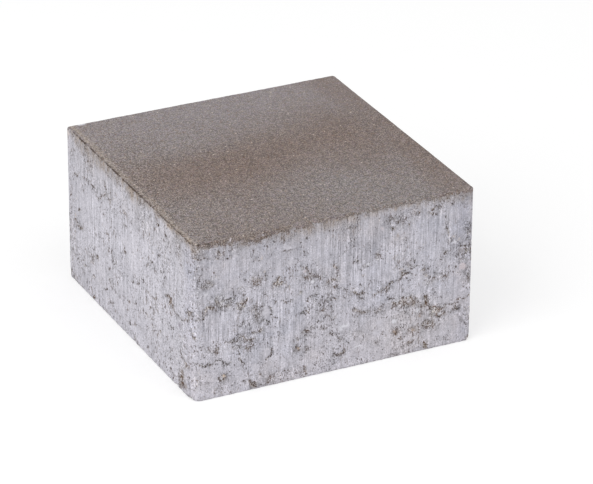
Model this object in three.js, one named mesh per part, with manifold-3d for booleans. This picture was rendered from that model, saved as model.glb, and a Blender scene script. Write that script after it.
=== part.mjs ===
// A square concrete paving stone, cast and pressed as one solid block.
//
// Millimetres, +Z up. The origin is the middle of the bed face, which the stone lies on.
// The wear face is the top. The four upright joint faces stand next to the neighbouring stones.

import * as THREE from "three";
import { mergeVertices } from "three/addons/utils/BufferGeometryUtils.js";
import Module from "manifold-3d";

// Driving dimensions

const LENGTH = 144; // along X, joint face to joint face
const WIDTH = 144; // along Y, joint face to joint face
const THICKNESS = 80; // along Z, bed face to wear face
const CORNER_RADIUS = 1.5; // of three of the upright corners
const BLUNT_CORNER_RADIUS = 4.4; // of the fourth, at -X -Y, which is rounder all the way down
const WEAR_ARRIS_RADIUS = 1; // of the edge round the wear face, which the press head and use round off
const BED_ARRIS_RADIUS = 0.6; // of the edge round the bed face, which the pallet keeps almost sharp

// How finely the round parts are divided

const CORNER_ARC_STEPS = 6; // an arc of the outline gets twice as many edges
const ARRIS_STEPS = 5;

const wasm = await Module();
wasm.setup();

// One quarter-round upright corner, on the side of the axes that the two signs give.
function roundCorner(outline, signX, signY, radius) {
  const centreX = signX * (LENGTH / 2 - radius);
  const centreY = signY * (WIDTH / 2 - radius);
  const middle = Math.atan2(signY, signX);
  outline.absarc(centreX, centreY, radius, middle - Math.PI / 4, middle + Math.PI / 4);
}

// The stone seen from above: straight joint faces that meet in round upright corners.
function planOutline() {
  const outline = new THREE.Shape();
  roundCorner(outline, 1, 1, CORNER_RADIUS);
  roundCorner(outline, -1, 1, CORNER_RADIUS);
  roundCorner(outline, -1, -1, BLUNT_CORNER_RADIUS);
  roundCorner(outline, 1, -1, CORNER_RADIUS);
  outline.closePath();
  return outline;
}

// The outline raised from bottomZ to topZ, with a quarter-round arris at both ends
// that follows the straight faces and runs round the corners inside their own radius.
function roundedPrism(bottomZ, topZ, arrisRadius) {
  const prism = new THREE.ExtrudeGeometry(planOutline(), {
    depth: topZ - bottomZ - 2 * arrisRadius,
    curveSegments: CORNER_ARC_STEPS,
    bevelEnabled: true,
    bevelThickness: arrisRadius,
    bevelSize: arrisRadius,
    bevelOffset: -arrisRadius,
    bevelSegments: ARRIS_STEPS,
  });
  prism.translate(0, 0, bottomZ + arrisRadius);
  return prism;
}

function asSolid(geometry) {
  const bare = geometry.clone();
  bare.deleteAttribute("normal");
  bare.deleteAttribute("uv");
  const merged = mergeVertices(bare);
  const mesh = new wasm.Mesh({
    numProp: 3,
    vertProperties: new Float32Array(merged.attributes.position.array),
    triVerts: new Uint32Array(merged.index.array),
  });
  return new wasm.Manifold(mesh);
}

function asGeometry(solid) {
  const mesh = solid.getMesh();
  const geometry = new THREE.BufferGeometry();
  geometry.setAttribute("position", new THREE.BufferAttribute(mesh.vertProperties, 3));
  geometry.setIndex(new THREE.BufferAttribute(mesh.triVerts, 1));
  geometry.computeVertexNormals();
  return geometry;
}

// The two arrises differ, so the block is what two prisms have in common:
// one ends at the wear face and runs on below the bed, the other ends at the bed and runs on above.
function castBlock() {
  const runOn = 2 * Math.max(WEAR_ARRIS_RADIUS, BED_ARRIS_RADIUS);
  const shapedByPress = asSolid(roundedPrism(-runOn, THICKNESS, WEAR_ARRIS_RADIUS));
  const shapedByPallet = asSolid(roundedPrism(0, THICKNESS + runOn, BED_ARRIS_RADIUS));
  return asGeometry(shapedByPress.intersect(shapedByPallet));
}

function concrete() {
  return new THREE.MeshStandardMaterial({
    name: "concrete",
    color: 0xaeabb0,
    roughness: 0.95,
    metalness: 0,
  });
}

const pavingStone = new THREE.Mesh(castBlock(), concrete());
pavingStone.name = "paving_stone";

const stone = new THREE.Group();
stone.add(pavingStone);

export default stone;
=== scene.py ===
"""A square concrete paving stone, pressed in one piece, standing on a pale studio floor.

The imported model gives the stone's size and place. This script dresses it: a dense skin with the
torn lines, pits, chips and worn arrises of the real casting, and the finish of its sandy top and
dragged sides. Lengths are worked out in millimetres and turned into metres at the end.
"""

import math
import random

import bmesh
import bpy
import numpy as np
from mathutils import Matrix, Vector, noise


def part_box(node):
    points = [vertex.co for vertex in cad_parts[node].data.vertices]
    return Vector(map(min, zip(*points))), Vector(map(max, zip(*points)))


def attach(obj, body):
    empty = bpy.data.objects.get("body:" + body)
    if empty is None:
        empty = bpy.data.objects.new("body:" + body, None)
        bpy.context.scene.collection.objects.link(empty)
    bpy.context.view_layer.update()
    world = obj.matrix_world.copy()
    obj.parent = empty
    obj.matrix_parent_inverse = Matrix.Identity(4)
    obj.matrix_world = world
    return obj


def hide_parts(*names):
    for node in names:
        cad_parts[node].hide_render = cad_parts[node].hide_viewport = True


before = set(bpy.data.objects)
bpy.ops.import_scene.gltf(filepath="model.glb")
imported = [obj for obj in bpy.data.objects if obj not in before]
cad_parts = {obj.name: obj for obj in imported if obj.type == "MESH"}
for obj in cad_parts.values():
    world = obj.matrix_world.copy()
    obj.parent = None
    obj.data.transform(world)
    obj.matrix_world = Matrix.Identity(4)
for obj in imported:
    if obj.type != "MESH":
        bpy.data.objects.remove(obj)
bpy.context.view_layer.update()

MM = 0.001

# The stone's own sizes, in millimetres. Its length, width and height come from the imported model.

CORNER_RADIUS = 1.5
BLUNT_CORNER_RADIUS = 4.4
WEAR_ARRIS = 1.0
BED_ARRIS = 0.6

low, high = (np.array(corner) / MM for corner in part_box("paving_stone"))
HALF = (high - low)[:2] / 2
HEIGHT = (high - low)[2]
MIDDLE = Vector((0, 0, HEIGHT * MM / 2))  # in metres, as the studio is

# The mesh: a coarse net all over, and two finer ones where there is something to show.
# A face of the net is split again where a mark's share is above the first numbers,
# or where it lies nearer than the second ones to the top edge, the bottom edge or an upright edge.

CELL = 1.6
FINE, FINEST = 1, 2
SHARE_TO_SPLIT = {
    FINE: {"torn": 0.01, "smear": 0.12, "hole": 0.01, "stone": 0.02, "chip": 0.02},
    FINEST: {"torn": 0.3, "hole": 0.1, "chip": 0.1},
}
GAP_TO_SPLIT = {FINE: (3.5, 2.2, 3.0), FINEST: (1.3, 0, 0)}

# How far in from an upright face its marks start to fade and end, and where its broad tints and the painted
# shadow under its lip end.

MARK_EDGE, MARK_REACH = 1.0, 3.0
TINT_REACH = 4.0
LIP_REACH = 5.0

# the painted shadow under the lip: where its dark line lies, and how wide it is
LIP_INSET, LIP_DROP, LIP_WIDTH = 0.45, 0.15, 0.6  # where the lip's dark line lies, and how wide it is
CRUST_START = 0.05  # how far below the top its crust starts to thin

# The relief of the skin: how high each kind stands or how deep it goes, in millimetres.

SWELL, TOP_GRAIN, BED_HOLLOWS = 0.10, 0.07, 0.45
SIDE_GRAIN, LOW_GRAIN, SMEAR_GRAIN = 0.03, 0.05, 0.10
TEAR_DEPTH, TEAR_RAGGED, SPOT_DEPTH = 0.18, 0.40, 0.2
STONE_RISE, LIP_DEPTH = 0.10, 0.16
WEAR_NICKS, BED_NICKS, NICK_REACH = 0.06, 0.16, 1.2

BED_SMEAR = 0.5  # how rough and grey the bed face is, as a smear's strength
WELL_INSIDE = 9.0  # the crust's reach where nothing limits it
TINY = 1e-9  # keeps a length from being 0

# Noise: the fall-off and step of its octaves, what sets one seed's pattern apart from the next,
# and how far soft noise is stretched to swing the whole way from -1 to 1.

GRAIN_FALL_OFF, GRAIN_STEP, SEED_STEP = 1.0, 2.0, 17.31
SEED_SHIFT = (0.37, 0.11, 0.23)
NOISE_SPREAD = 4.0

BUMP_STRENGTH, SHEEN = 0.9, 0.3  # of the finish: its finest relief, and how much it reflects

SHEET_GAP = 3.0  # between the unfolded faces on the flat map

# How many marks of each kind an unseen face gets. Most of its smears lie low on a face this tall.

UNSEEN_SMEARS, UNSEEN_TEARS, UNSEEN_PITS, UNSEEN_STONES, UNSEEN_DRAGS = 22, 26, 16, 26, 5
FACE_TALL = 80

# The marks that the skin's points keep for its finish.

KEPT_MARKS = ("torn", "seam", "smear", "brown", "pit", "spot", "stone", "dragged", "hue", "ease")

# The studio, in metres and degrees: each lamp's name, azimuth, elevation, distance, size and power,
# then the floor, the world and the camera. Only its lens and sensor are in millimetres.

LAMPS = (("key_light", -66, 40, 1.6, 1.3, 12), ("fill_light", 30, 50, 2, 1.6, 7))
FLOOR_RADIUS, FLOOR_GLOW = 6.0, 0.5
FLOOR_LIT, FLOOR_PLAIN = (0.55, 0.55, 0.55, 1), (0.85, 0.85, 0.85, 1)
WORLD_LIGHT, WHITE = 0.8, (1, 1, 1, 1)
CAMERA_AZIMUTH, CAMERA_ELEVATION, CAMERA_ROLL = -26.608, 26.335, 0.4853
CAMERA_DISTANCE, CAMERA_ASIDE, CAMERA_BELOW = 1.71649, 0.014242, 0.004622
LENS, SENSOR = 218.63, 36.0

# The colours of the stones that show, of the skin and its marks, and of the sand, as they are seen, 0 to 255.

COLOURS = {
    "pale": (203, 200, 208), "white": (223, 222, 229), "cream": (205, 196, 194), "buff": (224, 203, 184),
    "ochre": (183, 165, 153), "pink": (204, 194, 199), "mauve": (156, 150, 160), "taupe": (168, 159, 158),
    "skin": (185.6, 183.7, 196), "paler skin": (189.6, 187.2, 199),
    "blushed skin": (200, 193, 196), "pocked skin": (198, 195.8, 203.5),
    "haze": (156, 147, 143), "warm haze": (160, 147, 138),
    "grey smear": (128, 125, 128), "brown smear": (132, 116, 102),
    # the hollows, dashes, pores and spots are partly painted shade in pits and holes, and partly darker
    # matrix
    "hollow": (132, 127, 126), "brown hollow": (138, 123, 111),
    "dash": (112, 104, 101), "brown dash": (110, 92, 78),
    "pore": (70, 64, 61), "brown pore": (82, 66, 54),
    "stained pore": (104, 74, 50), "warm pore": (114, 86, 70),
    "spot": (76, 66, 58), "brown spot": (98, 72, 44), "glint": (232, 231, 236), "warm glint": (226, 219, 214),
    "cool sand": (149.5, 143.7, 143.3), "far sand": (155, 148, 149), "warm sand": (134, 119.5, 113),
    # rim sand is a painted highlight along the top's left edge
    "rim highlight sand": (174, 163, 155), "edge sand": (126, 113, 104),
    "dark blotch": (124, 103, 90), "pale blotch": (178, 166, 158),
    "light grain": (214, 198, 187), "crumb": (222, 208, 197), "rust grain": (136, 96, 72),
    "dark clod": (90, 68, 52), "pale clod": (196, 182, 170),
    # lip is painted shadow: the dark line under the top edge's lip
    "fresh chip": (184, 180, 182), "old chip": (112, 92, 78), "lip_groove_and_shade": (68, 55, 45),
}

# What warmer and cooler places are multiplied by.

WARMER_SKIN, COOLER_SKIN = (1.05, 1, 0.94, 1), (0.955, 1, 1.06, 1)
WARMER_SAND, COOLER_SAND = (1, 0.985, 0.93, 1), (1, 0.98, 1.045, 1)

# The four upright faces, seen from outside: across runs from the left edge, down from the top.
# Each has the direction that across runs in and the direction that it faces.

FACES = {
    "front": ((1, 0), (0, -1)),
    "right": ((0, 1), (1, 0)),
    "back": ((-1, 0), (0, 1)),
    "left": ((0, -1), (-1, 0)),
}

# Torn lines, where the skin opened as the block left its mould: how wide and how open each is,
# and its path of (across, down).

TEARS = {
    "front": [
        (0.7, 0.8, (0, 7), (3, 7.5), (5, 7), (8, 8)), (1.1, 0.6, (12, 5), (13.5, 6), (12.5, 9), (11.5, 8)),
        (0.8, 0.5, (15, 6), (16, 8)), (0.8, 0.7, (17.5, 10), (19, 9)), (0.9, 0.5, (3, 16), (4.5, 15.5)),
        (0.7, 0.8, (10, 15.5), (11.5, 17.5)),
        (1.3, 0.6, (6, 19), (8, 20), (10, 21.5), (7, 22.5), (4.5, 21.5)),
        (0.8, 0.4, (22, 19.5), (24.5, 20.5), (26.5, 18.5), (28, 17.5)), (0.8, 0.7, (26, 22), (26.5, 23.5)),
        (1.8, 0.5, (29.5, 22), (31, 24), (33, 25), (34, 23)),
        (0.8, 0.6, (35.5, 20), (36.5, 22.5), (36.5, 25)), (0.8, 0.5, (22.5, 26), (25, 25.5)),
        (1.2, 0.85, (40, 28), (42, 27.5), (43, 26), (43, 25)),
        (1.1, 0.85, (40.5, 29.5), (43, 28.5), (45, 28)), (0.8, 0.5, (45.5, 28), (47.5, 30.5), (49.5, 31)),
        (0.7, 0.6, (48.5, 25.5), (49, 26)),
        (1.2, 0.85, (55.5, 23), (57, 22.5), (58, 25), (59, 27), (61, 28), (62.5, 27.5), (64.5, 30)),
        (1.2, 0.5, (57, 27.5), (59, 29)),
        (0.8, 0.95, (11.5, 29), (11.5, 31), (14, 31), (17, 30.5), (20, 30.5)),
        (1.1, 0.8, (7, 32.5), (9, 32.5), (9.5, 34)), (1.4, 0.6, (6.5, 33), (5.5, 37), (3.5, 38.5), (2.5, 36)),
        (1.8, 0.6, (12, 32), (15, 33.5), (18, 33), (19, 31.5)),
        (1.3, 0.9, (22, 33.5), (25, 34), (27, 33), (27.5, 32)), (1, 0.4, (24, 31), (26, 30)),
        (0.5, 0.8, (20.5, 27), (20.5, 30)), (0.8, 0.5, (14, 35), (16, 36)), (0.8, 0.5, (0, 36.5), (2, 38.5)),
        (0.9, 0.7, (35.5, 30.5), (36.5, 33)),
        (1.5, 0.5, (28, 37.5), (30, 39), (32, 38.5), (33.5, 39.5), (30, 36.5)),
        (0.7, 0.7, (54.5, 35), (54.5, 36)), (0.8, 0.6, (45.5, 37), (47, 38.5), (50, 38)),
        (0.7, 0.6, (41, 36.5), (42, 37.5)),
        (0.9, 0.7, (57.5, 40), (59, 38.5), (61, 38), (62.5, 36.5), (62, 38)),
        (1.3, 0.6, (68, 33), (70, 31.5), (72, 32.5)), (1, 0.5, (67.5, 36), (69, 35), (72, 36)),
        (1.1, 0.75, (71, 24.5), (72, 26), (73, 26.5), (73.5, 28)), (0.7, 0.4, (73, 28), (73, 30), (73, 36)),
        (0.9, 0.45, (81, 9), (81.5, 14), (81, 18)), (0.8, 0.6, (89.5, 17.5), (90, 19)),
        (0.8, 0.5, (89.5, 21), (90.5, 22.5)), (0.8, 0.85, (81.5, 25.5), (82.5, 24.5), (84.5, 25.5)),
        (1.4, 0.6, (93, 23.5), (94.5, 25), (94, 26.5)), (0.8, 0.4, (98.5, 7), (99.5, 9.5)),
        (1.1, 0.42, (100.5, 6), (102, 8), (103.5, 9.5), (105.5, 9)), (0.9, 0.85, (101, 11.5), (102, 13)),
        (1, 0.3, (106, 5.5), (107, 10)), (0.7, 0.8, (110.2, 12.3), (110.8, 12.8)),
        (0.7, 0.5, (112, 4), (113.5, 6.5)), (0.7, 0.7, (115, 7.2), (115.2, 7.8)),
        (1, 0.75, (120.5, 8), (122.5, 9.5), (124.5, 9.5)),
        (0.9, 0.8, (122, 7), (124, 6), (125.5, 6.5), (126.5, 6.5)), (0.6, 0.8, (128.5, 12), (129.5, 12.5)),
        (0.7, 0.6, (133, 6.3), (133.3, 6.8)), (1.1, 0.5, (129.5, 15), (130.5, 19), (131, 22)),
        (1.5, 0.4, (139, 17), (140, 20), (141, 22), (143, 24), (142, 20)), (0.7, 0.6, (84, 30), (84.8, 30.5)),
        (0.8, 0.6, (86.5, 30.5), (87, 28), (89.5, 29.5)), (0.7, 0.7, (86.5, 33.5), (86.7, 34.5)),
        (1, 0.6, (103, 33), (105, 31), (105.5, 29.5)), (0.5, 0.6, (103.5, 34), (107, 34)),
        (1.2, 0.6, (109.5, 32), (111, 34.5), (111.5, 35)), (0.8, 0.7, (113.3, 31.3), (113.8, 31.8)),
        (0.8, 0.75, (113.5, 34.5), (115.5, 34.5)), (1.1, 0.35, (116, 24.5), (118, 26.5)),
        (1.2, 0.85, (106.5, 36), (107.5, 37.5), (110, 37)),
        (0.9, 0.65, (117.5, 37.5), (119, 37.5), (119.5, 40)), (1.2, 0.7, (128, 31), (129, 30.5), (130.5, 30)),
        (0.8, 0.4, (132, 29), (133, 30)), (1.7, 0.55, (136, 28), (137, 31), (137.5, 34), (138.5, 36)),
        (1.4, 0.75, (139.5, 29.5), (140.5, 31), (141.5, 33), (143, 32)), (1.4, 0.6, (141, 26), (143, 28)),
        (1, 0.6, (75, 37.5), (77.5, 38.5)), (0.8, 0.7, (85, 37), (85.5, 38.5)),
        (1.1, 0.7, (71, 41.5), (73, 43)), (1.1, 0.75, (82, 41), (84, 42.5), (87, 43)),
        (1.4, 0.5, (83.5, 44), (86.5, 46)), (1.1, 0.8, (91.5, 45.5), (95, 43.7), (99, 42.5), (101, 40.5)),
        (1, 0.6, (98, 43.5), (100.5, 43.5)),
        (0.9, 0.8, (102, 40), (104.5, 40.2), (106.5, 39), (108, 37), (110, 37)),
        (0.9, 0.75, (99, 48), (101, 49), (103, 48.5)), (1.3, 0.85, (82, 50), (85, 51.5), (87, 53), (90, 53)),
        (1.2, 0.75, (92.5, 53.5), (94, 54.5), (95.5, 52.5), (97, 51)),
        (1.6, 0.9, (102.5, 51), (104, 52.5), (106.5, 51.5), (108, 49.5), (108.5, 53), (110.5, 54)),
        (1.3, 0.8, (111.5, 50), (112.5, 52), (114, 53), (113, 55)), (1, 0.6, (114, 53), (117, 55), (119, 57)),
        (0.9, 1, (119, 51), (119.5, 54), (120.5, 56), (121.5, 57.5)),
        (0.9, 0.85, (121, 59), (124, 57.5), (125.5, 58.5), (127, 60.5), (129.5, 60)),
        (0.9, 0.8, (129.5, 60), (131, 58), (134, 59), (137, 58.5)),
        (1.5, 1, (126, 62.5), (127.5, 64.3), (129, 62.5)), (1, 0.6, (122, 62), (123, 63.5)),
        (1.2, 0.9, (135.7, 60.5), (137.2, 62.7), (138.5, 61)),
        (1.4, 0.9, (118.5, 66), (120.5, 65), (122, 67.5), (124, 66), (124, 68.5)),
        (0.7, 0.75, (136.5, 57), (138.5, 56.5), (141, 57), (144, 56)),
        (1.3, 0.7, (141, 43), (142.5, 46), (142, 48.5)), (1.1, 0.6, (122, 42.5), (126, 43.5), (130.5, 43)),
        (1.3, 0.65, (102.8, 66), (104.3, 67.8), (105.5, 66.3)), (0.8, 0.8, (111.3, 73.8), (112.8, 74.3)),
        (0.9, 0.95, (119, 75.3), (120, 77), (120.6, 78.8)),
        (0.9, 0.5, (101, 77.8), (104, 79), (106, 78), (111, 79)),
        (1.2, 0.95, (71.5, 69), (71.7, 71.8), (74, 72.2), (76.8, 71.8), (77.3, 70.3)),
        (0.9, 0.5, (73.3, 61.5), (75.5, 65), (77.5, 62.5), (80, 60.5)), (0.7, 0.45, (82.5, 53.5), (81.8, 58)),
        (1.2, 0.55, (140, 68.5), (141.5, 71)), (0.8, 0.6, (140, 62), (140.6, 62.6)),
        (0.9, 0.5, (92.7, 69), (94.2, 71), (96, 69.5)), (0.8, 0.75, (2, 51.5), (5, 52)),
        (1.2, 0.65, (7.5, 53), (9, 55), (11, 56), (12, 57.5), (12, 54)),
        (0.7, 0.9, (15.5, 52), (18, 52.5), (20.5, 52)),
        (1.1, 0.85, (19.5, 53), (22.5, 53.5), (24, 51), (23, 50)),
        (0.9, 0.65, (22, 44.5), (23.5, 46), (25, 45), (25, 43)), (0.8, 0.6, (20.5, 46.5), (21, 48)),
        (1.1, 0.9, (25, 51), (27, 53.5), (29.5, 54), (30.5, 53.5)),
        (1, 0.8, (30, 50), (32, 50.5), (34.5, 49.5)),
        (1.3, 0.65, (26.5, 57), (28, 58.5), (29.5, 57), (29.5, 55)),
        (0.8, 0.85, (0, 61), (2, 60), (4, 61.5), (6, 62.5), (7.5, 61), (9, 62.5), (11, 60.5), (14, 61)),
        (0.8, 0.8, (14, 61), (15.5, 62.5), (17, 64), (19, 63)), (0.8, 0.7, (15, 63), (15, 65)),
        (0.9, 0.8, (23, 62), (24, 64), (26, 65.5)), (0.9, 0.9, (12.5, 70), (14, 71.5), (15.5, 71)),
        (0.8, 0.7, (25, 74.5), (26, 75)), (1.1, 0.85, (28.5, 75), (30, 78), (31.5, 79)),
        (1.3, 0.5, (37, 79), (39, 76), (40.5, 74)), (0.8, 0.6, (33.5, 71), (34, 74)),
        (0.8, 0.85, (38.5, 39), (39.5, 41), (39.3, 43.5)), (1, 0.75, (35, 44.5), (37, 46), (38, 48)),
        (0.8, 0.9, (39.3, 60), (39.8, 62), (39.5, 64.5), (37, 65.5)), (1.3, 0.45, (32, 43), (34, 46)),
        (1.3, 0.5, (31, 38.5), (33, 42)), (1, 0.7, (0, 46), (1.5, 48)), (0.6, 0.5, (41, 57), (42, 58.5)),
        (0.8, 0.5, (51.5, 57), (53.5, 60)), (1, 0.5, (52, 63), (54.5, 64.5), (53, 65)),
        (1.1, 0.8, (54.5, 46), (57, 45), (58, 46.5)), (0.9, 0.6, (58.5, 44.5), (60, 44)),
        (1.1, 0.8, (55.5, 56), (57.5, 55), (59, 56.5)), (1.1, 0.6, (57, 63.5), (58, 65), (57, 67)),
        (0.7, 0.6, (60, 52.5), (60.5, 55)), (0.9, 0.7, (61, 41), (63.5, 43)),
        (1.3, 0.7, (67, 42), (69, 41.5), (70, 42)), (0.9, 0.7, (64, 47), (66, 46.5)),
        (0.8, 0.6, (70, 45.5), (70.5, 49), (72, 48.5)), (0.8, 0.6, (63, 52), (65, 53)),
        (0.9, 0.7, (64, 55), (66.5, 57), (68, 56.5)), (1, 0.7, (68.5, 50), (70, 50.5), (70, 53), (72.5, 52)),
        (1.1, 0.8, (69.5, 60), (71.5, 60.5)), (0.9, 0.8, (56, 74), (57, 76), (58, 78.5)),
        (0.8, 0.4, (7, 70.5), (9, 71.5)),
    ],
    "left": [
        (1, 0.6, (19, 6.5), (22, 6)), (1.1, 0.4, (11, 3.5), (13, 3.5)), (1.1, 0.6, (8.5, 9), (10, 9)),
        (0.8, 0.35, (5, 12.5), (9, 12)), (1, 0.6, (3, 35), (4.5, 34.5)),
        (1.1, 0.6, (47, 4.5), (49.5, 5.5), (50.5, 5)), (1, 0.45, (57.5, 6), (58.5, 6.5)),
        (1, 0.65, (9, 21.5), (12, 21.5), (13, 19.5), (14.5, 18.5)), (0.8, 0.5, (19.5, 16.5), (20.2, 16.6)),
        (0.7, 0.65, (18.5, 19), (21, 18.5)), (0.7, 0.5, (25, 18.6), (26, 18.4)),
        (0.8, 0.8, (28.5, 18.5), (31, 19), (33, 18.5)), (1, 0.7, (35, 22), (37, 23), (40, 21), (40.5, 19)),
        (0.9, 0.8, (40.5, 19), (43, 18.5), (45, 17.5), (46, 15.5)), (0.8, 0.75, (45.5, 12.5), (47, 13.5)),
        (0.9, 0.5, (44.5, 10), (46, 12)), (0.8, 0.65, (47.5, 16), (49, 15)),
        (0.8, 0.65, (48.5, 17), (50, 17.5), (52, 16.5)), (0.9, 0.6, (50.5, 19), (52, 18)),
        (1, 0.45, (54.5, 14.5), (57, 14.5)), (1, 0.5, (57, 10.5), (59, 12)),
        (0.8, 0.45, (51.5, 13), (53, 13)), (1.1, 0.4, (63, 15.5), (64, 15.5)),
        (1.2, 0.75, (67, 17), (68.5, 16.5)), (1.1, 0.85, (67.5, 23), (70, 23)),
        (0.8, 0.45, (65, 23.5), (66, 23.5)), (0.6, 0.8, (42, 28.5), (44, 28)),
        (0.9, 0.85, (46, 37), (48.5, 36.5)), (0.9, 0.8, (12.5, 38.7), (15, 38.2)),
        (0.8, 0.55, (50.7, 31.6), (51.6, 31.3)), (0.8, 0.5, (53, 35), (54, 33.5)),
        (0.8, 0.5, (56, 34.2), (57, 33.8)), (1, 0.5, (64.5, 32), (66, 34)),
        (1.1, 0.95, (67.5, 35), (67, 37), (69, 37)), (0.9, 0.4, (19.5, 24), (20, 26)),
        (0.8, 0.5, (73, 6.5), (74.5, 5.5)), (0.9, 0.6, (84, 5), (86.5, 2.5)),
        (0.9, 0.55, (96, 6.5), (98.5, 5)), (1, 0.9, (103, 3), (105, 4)), (0.8, 1, (105.5, 6.4), (106.5, 6)),
        (1, 0.75, (113, 7), (115.5, 8.3)), (0.7, 0.55, (111.5, 11), (112.5, 10.5)),
        (0.9, 0.5, (121.8, 7), (122.4, 7.4)), (1.1, 0.8, (128, 6.4), (129, 6.6)),
        (1, 0.75, (130.5, 3), (132, 2.5)), (0.8, 0.55, (137, 4.5), (138, 4.4)),
        (1, 0.6, (143, 3.5), (144, 6)), (0.8, 0.6, (76, 17), (76.5, 18.5)),
        (0.8, 0.5, (79.2, 16), (79.8, 16)), (0.7, 0.7, (84, 17.6), (85, 17.3)),
        (0.9, 0.5, (90, 17), (89.5, 20.5)), (0.7, 0.5, (96, 16), (96.8, 14)),
        (0.7, 0.55, (100, 18.6), (101.3, 18.2)), (1.2, 0.75, (105.5, 21.7), (107, 21.2)),
        (0.7, 0.6, (99.2, 23.2), (100, 22.8)), (0.8, 0.55, (110.6, 25.5), (112, 26.6)),
        (0.9, 0.7, (118.5, 14.6), (119.7, 14.3)), (0.8, 0.55, (130.5, 15.5), (132.5, 15)),
        (1, 0.7, (138.5, 15), (141, 14.5)), (0.8, 0.5, (135.8, 20), (136.8, 20)),
        (0.9, 1, (98, 28.7), (99.3, 28.2)), (0.8, 1, (92.5, 33), (94.5, 31)),
        (0.9, 0.9, (102, 31.7), (103.5, 31.2)), (0.8, 0.6, (105, 34.5), (106.2, 35.3)),
        (0.7, 0.4, (76, 33), (77.5, 32.5)), (0.9, 0.5, (93, 38.5), (94, 38)),
        (0.9, 0.8, (113, 38.5), (116, 38), (118, 37)), (1.1, 1, (119.5, 37.5), (118, 40.5)),
        (1, 0.7, (121, 39.5), (122, 41.5)), (1, 0.9, (136.5, 37), (138, 36), (140.5, 35), (142.5, 34)),
        (0.8, 0.5, (123, 43), (127, 42.5), (131, 43), (133, 42.5)),
        (0.9, 0.65, (134, 41.8), (135, 41), (138, 40)), (1.1, 0.8, (141, 45), (143, 47.5), (144, 47)),
        (0.8, 0.85, (7, 46.5), (10, 45.5)), (0.9, 0.75, (10, 47.5), (11.5, 46.5)),
        (0.9, 1, (12.5, 48), (15, 48), (17, 47)), (0.8, 0.6, (38, 42.5), (40.5, 41.5)),
        (0.9, 0.5, (33.5, 43), (34.5, 42.5)),
        (0.9, 0.6, (52.5, 42.5), (53.5, 46.5), (53.5, 48.5), (55, 49.5), (57.5, 47)),
        (0.7, 0.55, (60, 50.5), (62, 50.5)), (0.9, 0.55, (65, 51.5), (66, 51)),
        (0.7, 0.85, (48, 55), (50.5, 53.5)), (1.4, 1, (33.7, 54.6), (35.2, 54.4)),
        (1.2, 0.95, (29.3, 67.2), (30.8, 67)), (0.7, 0.85, (43.5, 68), (46.5, 66)),
        (1, 0.75, (17.5, 64), (19, 63)), (0.8, 0.75, (18.5, 66.5), (20.5, 65.5)),
        (0.8, 0.55, (6.5, 66), (8, 65.5)), (0.9, 0.55, (11.8, 65.2), (12.4, 66.2)),
        (0.9, 0.55, (49, 60), (50, 62.5), (52, 63.5), (53.5, 60)), (0.8, 0.55, (55.5, 63), (56.7, 62.8)),
        (0.9, 0.6, (61, 64), (62, 63.2)), (0.8, 0.6, (49.5, 71), (51, 72), (53.5, 70.5)),
        (0.8, 0.55, (56, 74), (57.5, 74)), (0.9, 0.55, (61, 75.3), (62, 74.3)),
        (0.8, 0.45, (17, 71), (18.2, 70.6)), (1.2, 0.9, (29.5, 78.5), (31, 78)),
        (0.9, 0.6, (43.5, 79), (45, 78.6)), (1.1, 0.85, (76, 48.8), (77, 48.2)),
        (1.1, 0.85, (71.2, 61.7), (72.6, 61)), (1.1, 0.85, (71.5, 73), (72.8, 72.4)),
        (0.8, 0.75, (81, 47.5), (84, 46)), (1.1, 0.8, (88, 43), (89, 42.2)),
        (0.7, 0.65, (91.5, 46), (94.5, 46.3), (97.5, 46.5)), (0.8, 0.7, (99, 46.5), (102, 46), (104, 44.5)),
        (0.8, 0.65, (102, 43.6), (103, 43.4)), (0.9, 0.75, (96, 53.2), (97, 52.8)),
        (0.9, 0.6, (103, 50.3), (105, 51.8)), (0.8, 0.55, (110, 48.7), (111.2, 48.2)),
        (1, 0.9, (121, 52.4), (122.2, 51.6)), (0.7, 0.6, (115.5, 53.2), (116.7, 52.6)),
        (0.8, 0.7, (129, 52.4), (130, 52)), (0.7, 0.7, (77, 60), (80.5, 58.5)),
        (0.8, 0.65, (88, 58.5), (91, 58.3), (93.5, 59)), (0.7, 0.55, (97, 58.5), (100, 57.5)),
        (0.9, 0.85, (92.3, 65.4), (93.2, 64.9)), (0.8, 0.65, (98.5, 61), (98.8, 62)),
        (0.7, 0.6, (100.8, 61.4), (101.2, 60.4)), (0.8, 0.65, (99.5, 64), (100.6, 63.3)),
        (0.8, 0.5, (106.5, 60.4), (108, 60)), (0.7, 0.65, (77, 71), (80.5, 69.5)),
        (1, 0.9, (92.3, 76.2), (93.3, 75.5)), (0.8, 0.6, (99.5, 74.8), (100.8, 74)),
        (1.1, 0.55, (131, 60), (132, 62.5)), (1.1, 0.75, (135.5, 63.5), (138, 64), (139.5, 63)),
        (0.7, 0.85, (139, 61.5), (143.5, 60.5)), (0.7, 0.6, (117.5, 69.5), (120, 68.5)),
        (0.9, 0.95, (118.4, 74.7), (119.6, 73.8)),
        (2.3, 0.7, (129.5, 78), (131.5, 74.5), (132, 71), (131, 69)),
    ],
}

# Smeared places, rough and darker with no clear edge: across, down, half the width and height,
# how strong, and how brown, from 0 for grey to 1.

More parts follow.
